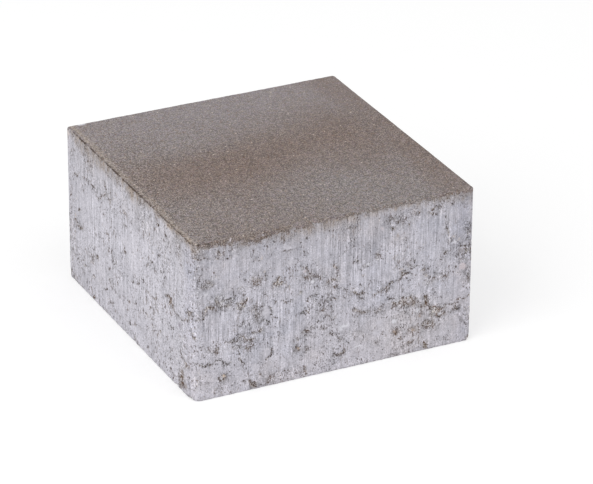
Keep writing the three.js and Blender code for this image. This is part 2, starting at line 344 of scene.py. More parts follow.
SMEARS = {
    "front": [
        (0.5, 3.5, 2.6, 4.5, 0.7, 0.9), (3, 5, 4, 3, 0.4, 0.9), (13, 6.5, 3.5, 2.5, 0.4, 0.8),
        (22, 6, 3, 2.5, 0.3, 0.5), (7, 21, 4, 2.6, 0.5, 0.3), (31.5, 24, 3, 3.5, 0.6, 0.3),
        (31.5, 13, 2.5, 1.5, 0.3, 0.2), (48.5, 19.5, 4, 1.4, 0.35, 0.5), (47, 12, 3, 1, 0.3, 0.6),
        (57, 15, 2.5, 1.2, 0.3, 0.3), (16, 33, 7, 2.2, 0.55, 0.2), (24.5, 33.5, 4, 1.6, 0.6, 0.3),
        (43, 28, 3, 2.4, 0.5, 0.1), (60.5, 27.5, 5, 3, 0.45, 0.5), (5, 36, 2, 4, 0.4, 0.1),
        (32, 40, 3.5, 5, 0.45, 0.4), (28, 45, 6, 3.5, 0.4, 0), (24, 52.5, 8, 4, 0.35, 0.3),
        (28.5, 57, 3, 2.5, 0.5, 0.3), (10, 55.5, 4, 2.5, 0.35, 0), (70.5, 33, 3.5, 2.5, 0.4, 0.5),
        (73.3, 33, 0.9, 6, 0.45, 0), (64, 42, 9, 3.5, 0.27, 0.2), (58, 56, 4, 2, 0.35, 0.5),
        (58, 65, 2.5, 2, 0.3, 0.3), (53, 64, 2.5, 1.5, 0.4, 0.9), (53, 58.5, 1.5, 2.5, 0.3, 0.7),
        (80.5, 8, 3, 4, 0.45, 0.3), (81.5, 14.5, 1.5, 5, 0.3, 0.2), (94.5, 25, 2.2, 2.6, 0.6, 0.2),
        (103, 8.5, 5, 4, 0.38, 0.4), (124, 8, 4, 2, 0.4, 0.3), (130.5, 19.5, 1.4, 4.5, 0.5, 0),
        (141.5, 22, 2.4, 6.5, 0.4, 0.1), (138, 33, 3, 6.5, 0.55, 0.1), (142, 31, 2.2, 5, 0.55, 0.1),
        (142.5, 46.5, 1.6, 3, 0.45, 0.2), (129.5, 31, 1.7, 1.2, 0.5, 0.3), (105, 31.5, 2.5, 2.5, 0.35, 0),
        (111, 33.5, 1.5, 2, 0.45, 0), (108, 37.5, 3, 1.6, 0.5, 0.6), (97.5, 43, 5, 2.6, 0.45, 0.3),
        (85.5, 44, 3.5, 2.5, 0.45, 0.1), (86.5, 52, 4.5, 1.9, 0.5, 0.6), (95, 53.3, 3, 2, 0.5, 0.3),
        (109, 52, 7, 3.2, 0.6, 0.5), (112, 76, 8, 3, 0.35, 0.5), (143.2, 79.2, 1.8, 1.6, 1, 1),
        (119.8, 54, 1.4, 4, 0.6, 0.9), (119, 39, 2.2, 3, 0.4, 0.4), (126, 43, 6, 1.8, 0.4, 0.4),
        (127, 61.5, 4.5, 3.5, 0.55, 0.1), (137, 61.5, 2.6, 2.6, 0.55, 0.2), (121.5, 66.7, 4.2, 3, 0.65, 0.5),
        (104.3, 67, 2.8, 2.6, 0.45, 0.8), (113.5, 68, 3.4, 2.4, 0.65, 1), (111.5, 74, 1.8, 1.6, 0.5, 1),
        (106.5, 71, 1.6, 1.2, 0.45, 0.9), (3, 2.6, 2, 0.8, 0.4, 0.6), (125, 60, 3, 2.4, 0.9, 0.4),
        (121, 44, 2.6, 2.2, 0.8, 0.4), (24, 36, 2.8, 2.4, 0.8, 0.3), (22, 56, 3, 2, 0.75, 0.3),
        (33, 50, 3, 1.6, 0.7, 0.3), (14, 29, 3.4, 1.8, 0.7, 0.2), (126.5, 41.5, 3.4, 2.4, 0.55, 0.3),
        (42, 27, 2.6, 2.2, 0.6, 0.2), (132, 24, 2.4, 2.4, 0.5, 0.1), (24, 27, 2.2, 2, 0.5, 0.1),
        (1, 70, 2, 3, 0.5, 0.2), (82, 63, 2.4, 2.4, 0.45, 0.2), (81, 40, 2.4, 2.4, 0.45, 0.2),
        (117.5, 60, 1.6, 5, 0.35, 1), (15.5, 72, 2.4, 2, 0.3, 1), (116.5, 60.5, 2, 4, 0.3, 1),
        (74.4, 71, 3.4, 2.2, 0.4, 0), (76, 63.3, 3, 2.5, 0.45, 0), (94.3, 70, 3, 1.6, 0.3, 0),
        (141, 69.5, 1.8, 2.8, 0.45, 0.3), (104, 78.6, 4, 1.2, 0.35, 0.4), (110, 78.6, 3, 1, 0.35, 0.4),
        (120, 77, 1.3, 2.8, 0.9, 1), (15, 70.2, 2.4, 2.2, 0.5, 0.8), (30.7, 77.2, 2.2, 2.2, 0.6, 0.6),
        (39, 76, 2.6, 2.6, 0.4, 0.9), (57.5, 77, 1.4, 2.6, 0.4, 0), (1.5, 26, 3.5, 14, 0.2, 0.1),
        (141.5, 42, 3.4, 9, 0.5, 0.1), (141.5, 66, 3.4, 6, 0.5, 0.3), (113, 55, 7, 5, 0.3, 0.4),
        (13, 29, 6, 4, 0.3, 0), (113, 6.5, 4.5, 2.2, 0.45, 0.4), (13, 75.5, 3, 3, 0.3, 0.3),
        (33, 75.5, 5, 3.5, 0.35, 0.4), (52, 76, 6, 3, 0.35, 0.2), (131, 76, 4, 2.5, 0.25, 0.1),
    ],
    "left": [
        (1, 0.6, 1.6, 0.6, 0.4, 1), (143.8, 4, 1.8, 4, 0.5, 0.9), (29, 8.5, 4, 4.5, 0.4, 0.9),
        (26, 13, 2.4, 1, 0.4, 1), (12, 47, 6, 1.6, 0.4, 0.3), (46, 16.5, 8, 3.5, 0.35, 0.1),
        (30, 19, 9, 1.2, 0.3, 0.1), (119, 39, 4, 3.5, 0.35, 0.6), (2, 56, 6, 16, 0.4, 0),
        (4, 77, 5, 3, 0.6, 0.2), (93, 13, 7, 6, 0.35, 0.1), (113, 19, 7, 5, 0.3, 0.1),
        (141, 42, 3, 6, 0.35, 0.1), (131, 58, 8, 12, 0.25, 0.1), (33, 6.5, 4, 2.5, 0.3, 0.3),
        (13, 4.5, 5, 1.5, 0.3, 0.3), (140, 37, 2.4, 2.6, 0.7, 0.1), (29, 58, 3, 2.4, 0.75, 0.2),
        (1.5, 77, 2.4, 2, 0.6, 0.1), (79, 78, 3, 1.5, 0.6, 0.3), (135, 65, 2.6, 2.4, 0.6, 0.2),
        (120.5, 39, 2.6, 4, 0.65, 0.3), (34, 55.5, 2.4, 2, 0.5, 0.2), (129, 10, 2.4, 2.4, 0.5, 0.1),
        (103, 48, 2.4, 2.4, 0.5, 0.1), (122, 77, 2.4, 2, 0.5, 0.3), (7, 56, 2.4, 2.4, 0.5, 0.1),
        (29, 6, 2.4, 2, 0.4, 0.3), (120, 65, 2.4, 2.4, 0.5, 0.1), (67, 15, 2.4, 2.4, 0.5, 0.1),
        (130, 43, 8, 1.8, 0.3, 0.3), (139.5, 36, 3.6, 2, 0.45, 0.5), (131.5, 74, 4.2, 5, 0.5, 0.8),
        (142.5, 27, 3.5, 18, 0.25, 0.1), (128.5, 6, 3.5, 3.5, 0.45, 0.6), (54.5, 47.5, 2.5, 3.5, 0.3, 0.1),
        (51, 61, 2.5, 3, 0.35, 0.1), (51.5, 71.5, 2.5, 2, 0.3, 0.1), (68, 36.5, 1.8, 1.5, 0.5, 0.2),
        (143, 47, 2.2, 2, 0.4, 0.2), (137.5, 64, 3, 1.5, 0.4, 0.5), (129, 46.5, 1.8, 2, 0.35, 0),
        (104, 3.7, 2, 1, 0.4, 0.5),
    ],
}

# Pits and blow holes: across, down, radius and depth.

PITS = {
    "front": [
        (13.2, 71.4, 1.2, 0.5), (30.5, 77.3, 1.5, 0.8), (127.6, 64.5, 1.1, 0.5), (137.2, 61.8, 1, 0.5),
        (120.2, 77.6, 1, 0.7), (104.2, 67, 1.1, 0.3), (112.1, 74.1, 0.9, 0.3), (102, 12.8, 0.7, 0.4),
        (110.5, 12.5, 0.5, 0.3), (129.2, 12.2, 0.5, 0.3), (17.6, 9.9, 0.6, 0.4), (0.6, 8.8, 0.7, 0.4),
        (120, 55, 0.7, 0.5), (11.6, 30.2, 0.7, 0.4), (122.9, 68.5, 0.8, 0.4), (72.2, 71.2, 0.9, 0.4),
    ],
    "left": [
        (34.4, 54.6, 1.3, 0.7), (30, 67.1, 1.1, 0.7), (30.2, 78.4, 1.2, 0.7), (68.4, 36.9, 1, 0.6),
        (40.3, 19.4, 0.9, 0.5), (106, 6.2, 0.7, 0.4), (106.2, 21.5, 0.9, 0.4), (76.5, 48.5, 0.9, 0.5),
        (88.5, 42.8, 0.9, 0.4), (96.5, 53, 0.7, 0.4), (121.6, 52, 0.9, 0.5), (72, 61.4, 1, 0.5),
        (72.2, 72.8, 1, 0.5), (92.8, 65.2, 0.7, 0.4), (92.8, 75.9, 0.8, 0.4), (128.5, 6.5, 0.8, 0.4),
        (119, 74.3, 0.8, 0.4), (131.6, 75, 1.8, 0.6), (98.6, 28.5, 0.8, 0.4), (93.4, 32.2, 0.7, 0.4),
    ],
}

# Where the marks are milder and the skin lighter: across, down, half the width and height, and how much,
# below 0 for stronger marks and a darker skin.

EASED = {
    "front": [
        (83, 78, 7, 1.8, 0.9), (63, 74, 2.2, 2.2, 0.5), (143, 51, 2, 2.4, 0.5), (131, 52, 2.4, 2.4, 0.45),
        (38, 58, 2.4, 2, 0.5), (124, 16, 2.4, 2.4, 0.45), (1, 69, 2, 2.4, -0.5), (35, 45, 2.2, 2.4, -0.45),
        (7, 33, 2.2, 2.4, -0.45), (106, 28, 2.2, 2.4, -0.45), (103, 62, 2.2, 2.4, -0.4),
        (62, 25.5, 2.6, 3, 0.8), (65, 41.5, 2.4, 2.6, 0.75), (108, 65, 2.6, 2.2, 0.9), (71, 70, 2.4, 2, 0.7),
        (106, 77, 2.6, 1.8, 0.75), (10, 43, 2.4, 3, 0.8), (33, 39, 2, 2, 0.5), (1, 52, 2, 2.4, 0.7),
        (78, 31, 2.2, 2.2, 0.7), (90, 31.5, 2.2, 2.4, 0.7), (92, 53, 2.2, 1.8, 0.5), (72, 78, 2, 1.6, 0.5),
        (142, 78, 2, 1.6, 0.5), (115, 67, 2, 2, 0.5), (96, 43, 2, 2, 0.5), (2, 18, 2, 2.4, 0.5),
        (63, 64, 2.4, 2.4, -0.6), (101, 19, 2.4, 4, -0.6), (139, 58, 2.4, 2.4, -0.6),
        (22, 65, 2.4, 2.4, -0.6), (14, 69, 2.4, 2.4, -0.6), (79, 7, 2.4, 2.4, -0.6), (50, 13, 2.4, 2.4, -0.6),
        (35, 64, 2.4, 2.4, -0.6), (100, 38, 2.4, 2.4, -0.6), (141, 32, 2, 2.4, -0.6),
        (88, 62, 2.4, 2.4, -0.6), (43, 27, 2, 2, -0.5), (120, 40, 2.4, 2, -0.5), (125, 60, 2.4, 2, -0.7),
    ],
    "left": [
        (62.5, 38, 2.6, 10, 0.9), (58, 56, 2.4, 2.6, 0.8), (28, 75, 2.4, 2.2, 0.9), (132, 26, 2.2, 2.4, 0.8),
        (113, 45, 2.2, 2.4, 0.75), (70, 35, 2.2, 2.4, 0.65), (142, 69, 2, 2.4, 0.8), (2, 7, 3, 8, 0.8),
        (23, 3, 2, 2, 0.6), (29, 7, 2.4, 2.4, -0.6), (121, 27, 2.4, 2.4, -0.6), (15, 42, 2.4, 2.4, -0.6),
        (83, 54, 2.4, 2.4, -0.6), (86, 68, 2.4, 2.4, -0.6), (118, 40, 2.4, 2.4, -0.6),
        (38, 64, 2.4, 2.4, -0.5), (128, 18, 2.4, 2.4, -0.5), (136, 41, 2.4, 2.4, -0.5),
        (136, 18, 2.4, 2.4, -0.5), (105, 14, 2.4, 2.4, -0.5), (140, 37, 2.4, 2.4, -0.6),
        (135, 64, 2.4, 2.4, -0.6), (143, 34, 2, 2.4, 0.6), (54, 48, 2.4, 2.4, 0.5), (58, 20, 2.4, 2.4, 0.5),
        (95, 74, 2.4, 2.4, 0.5), (49, 57, 2.4, 2.4, -0.5), (71, 69, 2.4, 2.4, -0.5), (44, 11, 2.4, 2.4, -0.5),
        (20, 60, 2.4, 2.4, -0.5), (79, 67, 2.4, 2, -0.4), (101, 1.5, 3, 1.5, -0.5),
    ],
}

# Where the skin is warmer or cooler in colour: across, down, half the width and height, and how much,
# above 0 for warmer and below it for cooler.

TINGES = {
    "front": [
        (109, 66, 9, 8, 1), (133, 64, 4, 5, 0.8), (94, 67, 5, 6, -0.8), (129, 50, 9, 5, -0.8),
        (62, 67, 9, 6, 0.8), (85, 60, 6, 5, 0.6), (37, 73, 4, 5, 1), (24, 74, 5, 4, 0.7),
        (31, 65, 2, 8, -0.6), (14, 45, 7, 6, 0.5), (18, 17, 9, 9, -0.7), (3, 30, 3, 10, 0.5),
        (91, 9, 6, 7, 0.8), (99, 19, 4, 6, 0.5), (65, 14, 9, 7, -0.7), (118, 18, 8, 8, -0.4),
        (79, 45, 6, 8, 0.3), (47, 30, 5, 14, -0.5), (46, 60, 5, 14, -0.5), (8, 72, 9, 6, 0.5),
        (72, 76, 8, 4, -0.5), (140, 73, 5, 5, -0.6), (137, 40, 4, 4, 0.4), (115, 31, 7, 6, -0.4),
        (118, 59, 3, 7, 0.9), (56, 78, 3, 2, -1), (62, 27, 3, 3, -0.7), (75, 72, 3, 3, -0.6),
        (140, 55, 3, 5, -0.7), (136, 4, 5, 4, 0.8), (16, 72, 3, 3, 0.8), (117, 6, 4, 3, 0.6),
    ],
    "left": [
        (30, 9, 5, 5, 0.5), (12, 55, 10, 10, 0.4), (35, 30, 10, 12, -0.3), (131, 73, 6, 6, 1),
        (60, 25, 12, 10, -0.2), (118, 40, 5, 4, 0.6), (5, 4, 6, 5, 1.8), (64, 3, 9, 3, 1), (28, 1, 3, 2, 0.8),
        (136, 77, 4, 2, 0.8), (143, 48, 3, 4, 0.8), (8, 28, 8, 10, -0.5), (100, 68, 16, 8, 0.2),
    ],
}

# Small dark spots, partly painted shade in small holes and partly darker matrix: across, down and radius.

SPOTS = {
    "front": [
        (11.5, 30.2, 0.55), (26.2, 22.8, 0.45), (10.8, 17, 0.4), (17.2, 9.9, 0.4), (22.2, 33.5, 0.45),
        (27.1, 32.9, 0.5), (39.4, 39.7, 0.5), (41.2, 37.6, 0.45), (46, 38.4, 0.4), (5.5, 38, 0.6),
        (0.7, 8.7, 0.5), (15.2, 59.1, 0.35), (15.2, 62.8, 0.6), (7.3, 61.4, 0.45), (5.9, 62.4, 0.5),
        (21.4, 60.6, 0.35), (23.2, 59.4, 0.45), (22.3, 53, 0.55), (20.7, 52.8, 0.5), (24.2, 63.9, 0.4),
        (25.4, 65.1, 0.45), (28, 53.3, 0.5), (39.6, 60.3, 0.5), (39.4, 64.6, 0.45), (39.1, 43.3, 0.4),
        (25.5, 74.6, 0.5), (13.2, 71.6, 0.6), (31.3, 78, 0.6), (68.4, 43, 0.6), (69.6, 42.4, 0.4),
        (72.4, 43, 0.5), (83.2, 42.3, 0.5), (82.3, 42, 0.4), (87, 52.3, 0.5), (83.7, 54, 0.4),
        (94, 54.5, 0.5), (93, 53, 0.4), (57.4, 78.4, 0.5), (71.6, 72.3, 0.5), (77, 71.6, 0.5),
        (74.5, 72.2, 0.4), (71, 60.3, 0.5), (56.2, 46, 0.45), (57.5, 56, 0.5), (56.3, 56, 0.4),
        (66.7, 56.5, 0.4), (63.4, 52.2, 0.4), (58.5, 63.5, 0.4), (51.5, 63.8, 0.45), (70.4, 45.8, 0.4),
        (101.4, 12.7, 0.5), (110.6, 12.8, 0.4), (115.2, 7.5, 0.45), (124.4, 5.4, 0.4), (125.6, 5.6, 0.35),
        (124.4, 9.7, 0.45), (122.6, 9.1, 0.4), (133.2, 6.6, 0.45), (104.2, 10, 0.4), (107, 36.9, 0.5),
        (109.8, 37, 0.4), (113.6, 31.8, 0.5), (113.4, 34.9, 0.5), (129, 31.3, 0.6), (130, 30.7, 0.4),
        (135.2, 39.2, 0.5), (118, 37, 0.4), (123.4, 28.5, 0.3), (138, 29, 0.5), (140, 29.7, 0.5),
        (140.6, 32, 0.6), (141.6, 46, 0.5), (46.2, 12.2, 0.4), (56, 14.8, 0.45), (73.2, 26.8, 0.5),
        (82, 25.2, 0.35), (83.8, 25.4, 0.4), (85.2, 37.4, 0.5), (86.7, 33.9, 0.4), (89.5, 29.3, 0.45),
        (54.5, 35.2, 0.4), (71.3, 31.9, 0.45), (61.5, 27.8, 0.5), (63, 29, 0.45), (64.3, 29.9, 0.45),
        (62.8, 38, 0.5), (108, 49.4, 0.55), (111.8, 49.7, 0.5), (119.2, 52, 0.45), (120.1, 55.4, 0.6),
        (127.2, 64.2, 0.6), (137, 62.2, 0.6), (122.3, 59, 0.4), (123, 62.5, 0.4), (119.2, 75.4, 0.6),
        (119.7, 76.6, 0.6), (120.3, 77.8, 0.6), (121, 68, 0.5), (119, 66.3, 0.5), (123.8, 66.5, 0.4),
        (108, 53.5, 0.5), (103, 52, 0.4), (99.3, 48.2, 0.35), (97.5, 43.4, 0.4), (100.5, 40.5, 0.4),
        (141.6, 71, 0.4), (104, 67.6, 0.5), (111.4, 74, 0.45),
    ],
    "left": [
        (98.5, 28.5, 0.5), (94.3, 31, 0.45), (92.7, 32.7, 0.5), (102.7, 31.6, 0.4), (118.7, 38, 0.6),
        (117.6, 40, 0.5), (106.3, 21.5, 0.6), (105.7, 6.3, 0.4), (103.8, 3.6, 0.45), (128.5, 6.6, 0.5),
        (113.6, 7.4, 0.4), (114.6, 8.3, 0.45), (112.2, 10.8, 0.35), (118.9, 14.3, 0.4), (139.2, 15, 0.5),
        (99.7, 23.2, 0.35), (141, 34.6, 0.5), (139, 35.8, 0.5), (121, 41.5, 0.45), (137.6, 41, 0.5),
        (29.8, 67, 0.65), (34.3, 54.5, 0.7), (30, 78.3, 0.7), (14.5, 47.7, 0.6), (10.8, 46.8, 0.5),
        (46.2, 66.6, 0.35), (44.3, 67.7, 0.35), (48.2, 55, 0.4), (68.6, 37.2, 0.6), (67.3, 36.4, 0.45),
        (67.4, 17, 0.5), (69, 23, 0.5), (47.5, 36.7, 0.5), (13.5, 38.7, 0.5), (40.2, 19.4, 0.5),
        (44.8, 17.5, 0.45), (46.2, 13.6, 0.4), (31, 18.8, 0.5), (25, 13.2, 0.5), (20, 6.5, 0.5),
        (76.4, 48.7, 0.6), (72, 61.3, 0.6), (72.2, 72.3, 0.6), (83.7, 46, 0.4), (81, 47.2, 0.35),
        (88.4, 42.6, 0.6), (96.5, 52.8, 0.55), (121.5, 51.8, 0.6), (92.6, 65.1, 0.55), (92.6, 75.6, 0.6),
        (118.4, 74.3, 0.55), (130.8, 62.3, 0.5), (136.2, 64.3, 0.5), (142.5, 47.5, 0.6), (102.4, 42.3, 0.45),
        (84.6, 5.3, 0.45), (49.5, 5.6, 0.5), (128.7, 77.7, 0.5), (132, 72.5, 0.6), (18, 64.2, 0.5),
        (55.2, 49, 0.5), (100, 63.7, 0.4), (94.5, 45.8, 0.3), (88, 58.4, 0.4),
    ],
}

# Stones and lime that show through the skin, and on the left face three painted highlights on the lit rims of
# pits: across, down, half the width and height, and their colour.

STONES = {
    "front": [
        (36.4, 40.8, 1.8, 3.3, "pale"), (37, 62, 1.9, 2.7, "pale"), (46, 9.5, 1.2, 1.5, "pale"),
        (48.5, 11, 2.2, 1, "pale"), (49.5, 18.5, 2.5, 1.2, "pale"), (60.2, 30.8, 1.4, 1, "white"),
        (6.8, 25.4, 0.7, 0.5, "white"), (29.2, 1.9, 0.8, 0.45, "buff"), (30.8, 1.4, 0.5, 0.3, "buff"),
        (18.6, 0.9, 0.5, 0.4, "pink"), (34.8, 1.6, 0.5, 0.5, "pale"), (77, 57.6, 2.7, 0.8, "white"),
        (75, 59, 1.2, 1, "white"), (103.2, 61, 1.4, 1.2, "white"), (139, 39.8, 2.3, 1.8, "pink"),
        (134.5, 26.4, 1.3, 0.8, "white"), (133.6, 23.2, 0.8, 0.4, "cream"), (135, 24.2, 0.9, 0.4, "cream"),
        (136.3, 25.2, 0.7, 0.4, "cream"), (139.5, 28.3, 1, 0.8, "pale"), (106.3, 34.7, 1.5, 0.5, "cream"),
        (104.5, 50.6, 1.6, 0.5, "white"), (109.5, 49, 1.3, 0.4, "white"), (34.5, 13, 0.9, 0.6, "cream"),
        (36, 20.3, 0.7, 0.4, "cream"), (56.7, 25, 0.7, 0.8, "pink"), (71.8, 26, 0.7, 0.7, "cream"),
        (89, 28.3, 1, 0.75, "white"), (99.5, 38.5, 0.8, 0.9, "pale"), (120, 40.6, 1.2, 0.4, "cream"),
        (125, 42, 0.9, 1, "pale"), (118.5, 44.5, 1, 0.8, "pale"), (99.5, 21.5, 0.8, 0.4, "white"),
        (82.5, 70, 1, 0.5, "white"), (85.2, 69.5, 0.6, 0.5, "white"), (127.3, 62.6, 1.1, 0.9, "white"),
        (15, 69.3, 0.9, 0.6, "buff"), (14.1, 70.6, 0.7, 0.4, "white"), (30, 76, 0.5, 0.7, "white"),
        (122, 66.7, 1, 0.4, "white"), (111.9, 74, 0.7, 0.5, "cream"), (115.2, 57.5, 0.8, 1.5, "white"),
        (116.5, 61, 0.7, 0.6, "ochre"), (111.2, 53.2, 1.3, 0.8, "taupe"), (103.5, 66.5, 0.8, 0.8, "ochre"),
        (113.5, 68, 1.3, 0.7, "ochre"), (92, 45.5, 0.8, 0.6, "pale"), (124.5, 45, 0.8, 0.7, "pale"),
        (96.2, 11.3, 0.7, 0.5, "pink"), (104.2, 16.5, 0.6, 1.1, "taupe"), (78, 74, 1, 0.7, "white"),
        (52, 48, 0.9, 0.7, "pale"), (53, 63.8, 0.9, 0.5, "ochre"), (79, 64, 1.2, 0.8, "pale"),
        (31, 69, 1.4, 3, "pale"), (59, 75, 1.4, 1.8, "pale"), (66, 37, 1.6, 0.8, "pale"),
        (95, 60, 1.6, 2, "pale"), (94, 65, 1.5, 1.5, "pale"),
    ],
    "left": [
        (2.2, 2.6, 2.6, 1.6, "cream"), (129, 46.7, 1.3, 1.6, "mauve"), (9, 43.5, 0.6, 0.6, "ochre"),
        (28, 60.3, 2.4, 0.5, "taupe"), (41.5, 40.3, 0.7, 0.4, "white"), (25.5, 13, 1.2, 0.6, "taupe"),
        # the white ones at 78.2, 49.6 and at 74, 62.2 and at 74, 73.4 are painted highlights on the lit lower
        # right rims of pits
        (135.5, 75.5, 1.6, 1.4, "taupe"), (78.2, 49.6, 1.1, 0.7, "white"), (74, 62.2, 1.1, 0.7, "white"),
        (74, 73.4, 1.1, 0.7, "white"), (16.5, 24, 1.2, 2.2, "pale"), (50, 50.5, 1.4, 1.4, "pale"),
        (48, 64, 1.4, 1.4, "pale"), (84, 36, 2.2, 1.8, "pale"), (70, 30.5, 2, 2, "pale"),
    ],
    "back": [(136.5, 0.5, 2, 1, "white")],
}

# Where the drag lines of the mould show most: across, down, half the width and height, and how strong.

DRAGGED = {
    "front": [
        (86, 24, 30, 20, 1), (12, 43, 10, 9, 1), (37, 33, 6, 12, 0.6), (52, 45, 12, 22, 0.7),
        (124, 18, 14, 14, 0.8), (126, 50, 10, 9, 0.7), (20, 16, 12, 8, 0.5), (37, 56, 5, 14, 0.7),
    ],
    "left": [(50, 25, 40, 25, 0.6), (110, 20, 30, 16, 0.6), (40, 65, 40, 14, 0.4)],
}

# How much greyer the upper part of each face is, and how thickly each is set with small upright pock marks.

DULL = {"front": 1.4, "left": 0.3, "right": 1, "back": 0.8}
POCKED = {"front": 0.55, "left": 0.8, "right": 0.6, "back": 0.8}

# Where the skin is whole, with few pores: across, down, half the width and height.

SOUND = {
    "front": [
        (18, 18, 9, 9), (66, 15, 7, 9), (92, 13, 9, 8), (120, 20, 7, 14), (137, 51, 7, 5), (13, 43, 8, 7),
        (133, 12, 6, 5), (42, 15, 4, 8), (136, 72, 6, 5), (90, 33, 12, 4),
    ],
    "left": [
        (15, 30, 12, 8), (30, 32, 10, 8), (75, 30, 12, 10), (38, 62, 8, 8), (60, 70, 8, 5), (40, 8, 14, 4),
    ],
    "right": [(40, 30, 20, 14), (100, 45, 14, 20)],
    "back": [(30, 40, 14, 20), (95, 25, 24, 12), (120, 60, 12, 10)],
}

# Chips off the edges: the middle (x, y, z), radius and depth.

CHIPS = [
    ((72, -72, 0), 2.3, 0.9), ((-72, -53.5, 0), 2.4, 0.4), ((-72, -68, 0), 2.6, 0.6), ((72, 30, 0), 2.6, 0.9),
    ((24, 72, 0), 3, 0.9), ((-72, 72, 0), 1.8, 0.5),
]

# How far down the sandy crust and the beige haze under it reach on each upright face, and how dark
# the painted shadow line under its top edge's lip is: each as places across, with the number there.

CRUST_DEPTH = {
    "front": (
        (0, 1.6), (4, 2), (8, 2.1), (13, 2.2), (20, 2.8), (31, 4.3), (40, 2.9), (53, 2.8), (64, 1.7),
        (82, 1.3), (93, 1.5), (113, 1.6), (131, 1.5), (144, 2.2),
    ),
    "left": ((0, 0.25), (8, 0.15), (144, 0.15)),
    "right": ((0, 2.1), (50, 1.4), (90, 2.4), (144, 0.8)),
    "back": ((0, 0.8), (40, 1.9), (100, 1.2), (144, 0.5)),
}
HAZE_DEPTH = {
    "front": (
        (0, 6), (8, 3.8), (14, 3), (20, 5), (34, 6.5), (46, 8), (60, 7.5), (72, 5.5), (90, 3.6), (110, 4),
        (125, 4.6), (144, 6.5),
    ),
    "left": (
        (0, 1.2), (12, 6.5), (27, 8), (40, 7), (60, 6), (82, 6.5), (92, 3), (112, 2.2), (128, 4.2), (144, 2),
    ),
    "right": ((0, 8), (60, 4), (100, 6), (144, 5)),
    "back": ((0, 5), (50, 7), (100, 4), (144, 6.5)),
}
LIP_SHADE = {
    "front": ((0, 0.95), (4, 0.9), (9, 0.7), (12, 0.15), (134, 0), (139, 0.45), (144, 0.45)),
    "left": (
        (0, 0), (5.8, 0), (7.5, 0.7), (13, 0.7), (17, 1.2), (22, 1.2), (25, 0.3), (29, 0.9), (44, 0.95),
        (55, 0.8), (59, 1.05), (63, 0.75), (72, 1.05), (82, 0.95), (100, 0.8), (120, 0.75), (137, 0.7),
        (144, 0.75),
    ),
    "right": ((0, 0.5), (60, 0.8), (144, 0.5)),
    "back": ((0, 0.7), (40, 0.9), (110, 0.5), (136, 0.5), (144, 0)),
}


def graded(value, stops):
    """The number at this place along the stops, which are pairs of a place and its number."""
    return np.interp(value, *zip(*stops))


def smooth_step(value, start, end):
    """0 up to start, 1 from end on, and an S between them."""
    share = np.clip((value - start) / (end - start), 0, 1)
    return share * share * (3 - 2 * share)


def grain(points, size, seed, octaves=2):
    """Noise between about -1 and 1 at these points, with lumps of this size in millimetres."""
    place = points / size + seed * SEED_STEP
    return np.array([noise.fractal(Vector(p), GRAIN_FALL_OFF, GRAIN_STEP, octaves) for p in place])


def paint(name):
    """A named colour as the shader's linear one."""
    shares = [c / 255 for c in COLOURS[name]]
    values = [s / 12.92 if s <= 0.04045 else ((s + 0.055) / 1.055) ** 2.4 for s in shares]
    return (*values, 1.0)


def face_places(points, name):
    """Across, down and how far in from this upright face each point lies."""
    along, out = FACES[name]
    half_width = abs(np.dot(along, HALF))
    half_depth = abs(np.dot(out, HALF))
    across = points[:, :2] @ np.array(along) + half_width
    inward = half_depth - points[:, :2] @ np.array(out)
    return across, HEIGHT - points[:, 2], inward


def fading(inward):
    """How much of a broad tint of an upright face is left this far in from it."""
    return 1 - smooth_step(inward, MARK_EDGE, TINT_REACH)


def blot(across, down, at, below, wide, tall):
    """A soft round blot on a face: 1 in its middle, and almost 0 at twice its half width and height."""
    return np.exp(-((across - at) / wide) ** 2 - ((down - below) / tall) ** 2)


def from_path(across, down, path):
    """How far each place on a face is from a path of straight steps."""
    nearest = np.full(len(across), np.inf)
    for (x0, y0), (x1, y1) in zip(path, path[1:]):
        length2 = (x1 - x0) ** 2 + (y1 - y0) ** 2
        share = ((across - x0) * (x1 - x0) + (down - y0) * (y1 - y0)) / length2
        share = np.clip(share, 0, 1)
        gap = np.hypot(across - x0 - share * (x1 - x0), down - y0 - share * (y1 - y0))
        nearest = np.minimum(nearest, gap)
    return nearest


def edge_gaps(points):
    """How far each point of the box is from its top edge, its bottom edge and its upright edges."""
    inset = HALF - np.abs(points[:, :2])
    side = inset.min(axis=1)
    top = np.hypot(HEIGHT - points[:, 2], side)
    bottom = np.hypot(points[:, 2], side)
    upright = np.hypot(inset[:, 0], inset[:, 1])
    return top, bottom, upright


def wandering_path(draw, across, down):
    """A path of one to four short steps from this place, which turns as it goes."""
    heading = draw.gauss(0, 0.6)
    path = [(across, down)]
    for _ in range(draw.randint(1, 4)):
        heading += draw.gauss(0, 0.7)
        length = draw.uniform(0.8, 2.6)
        across += length * math.cos(heading)
        down += length * math.sin(heading)
        path.append((across, down))
    return path


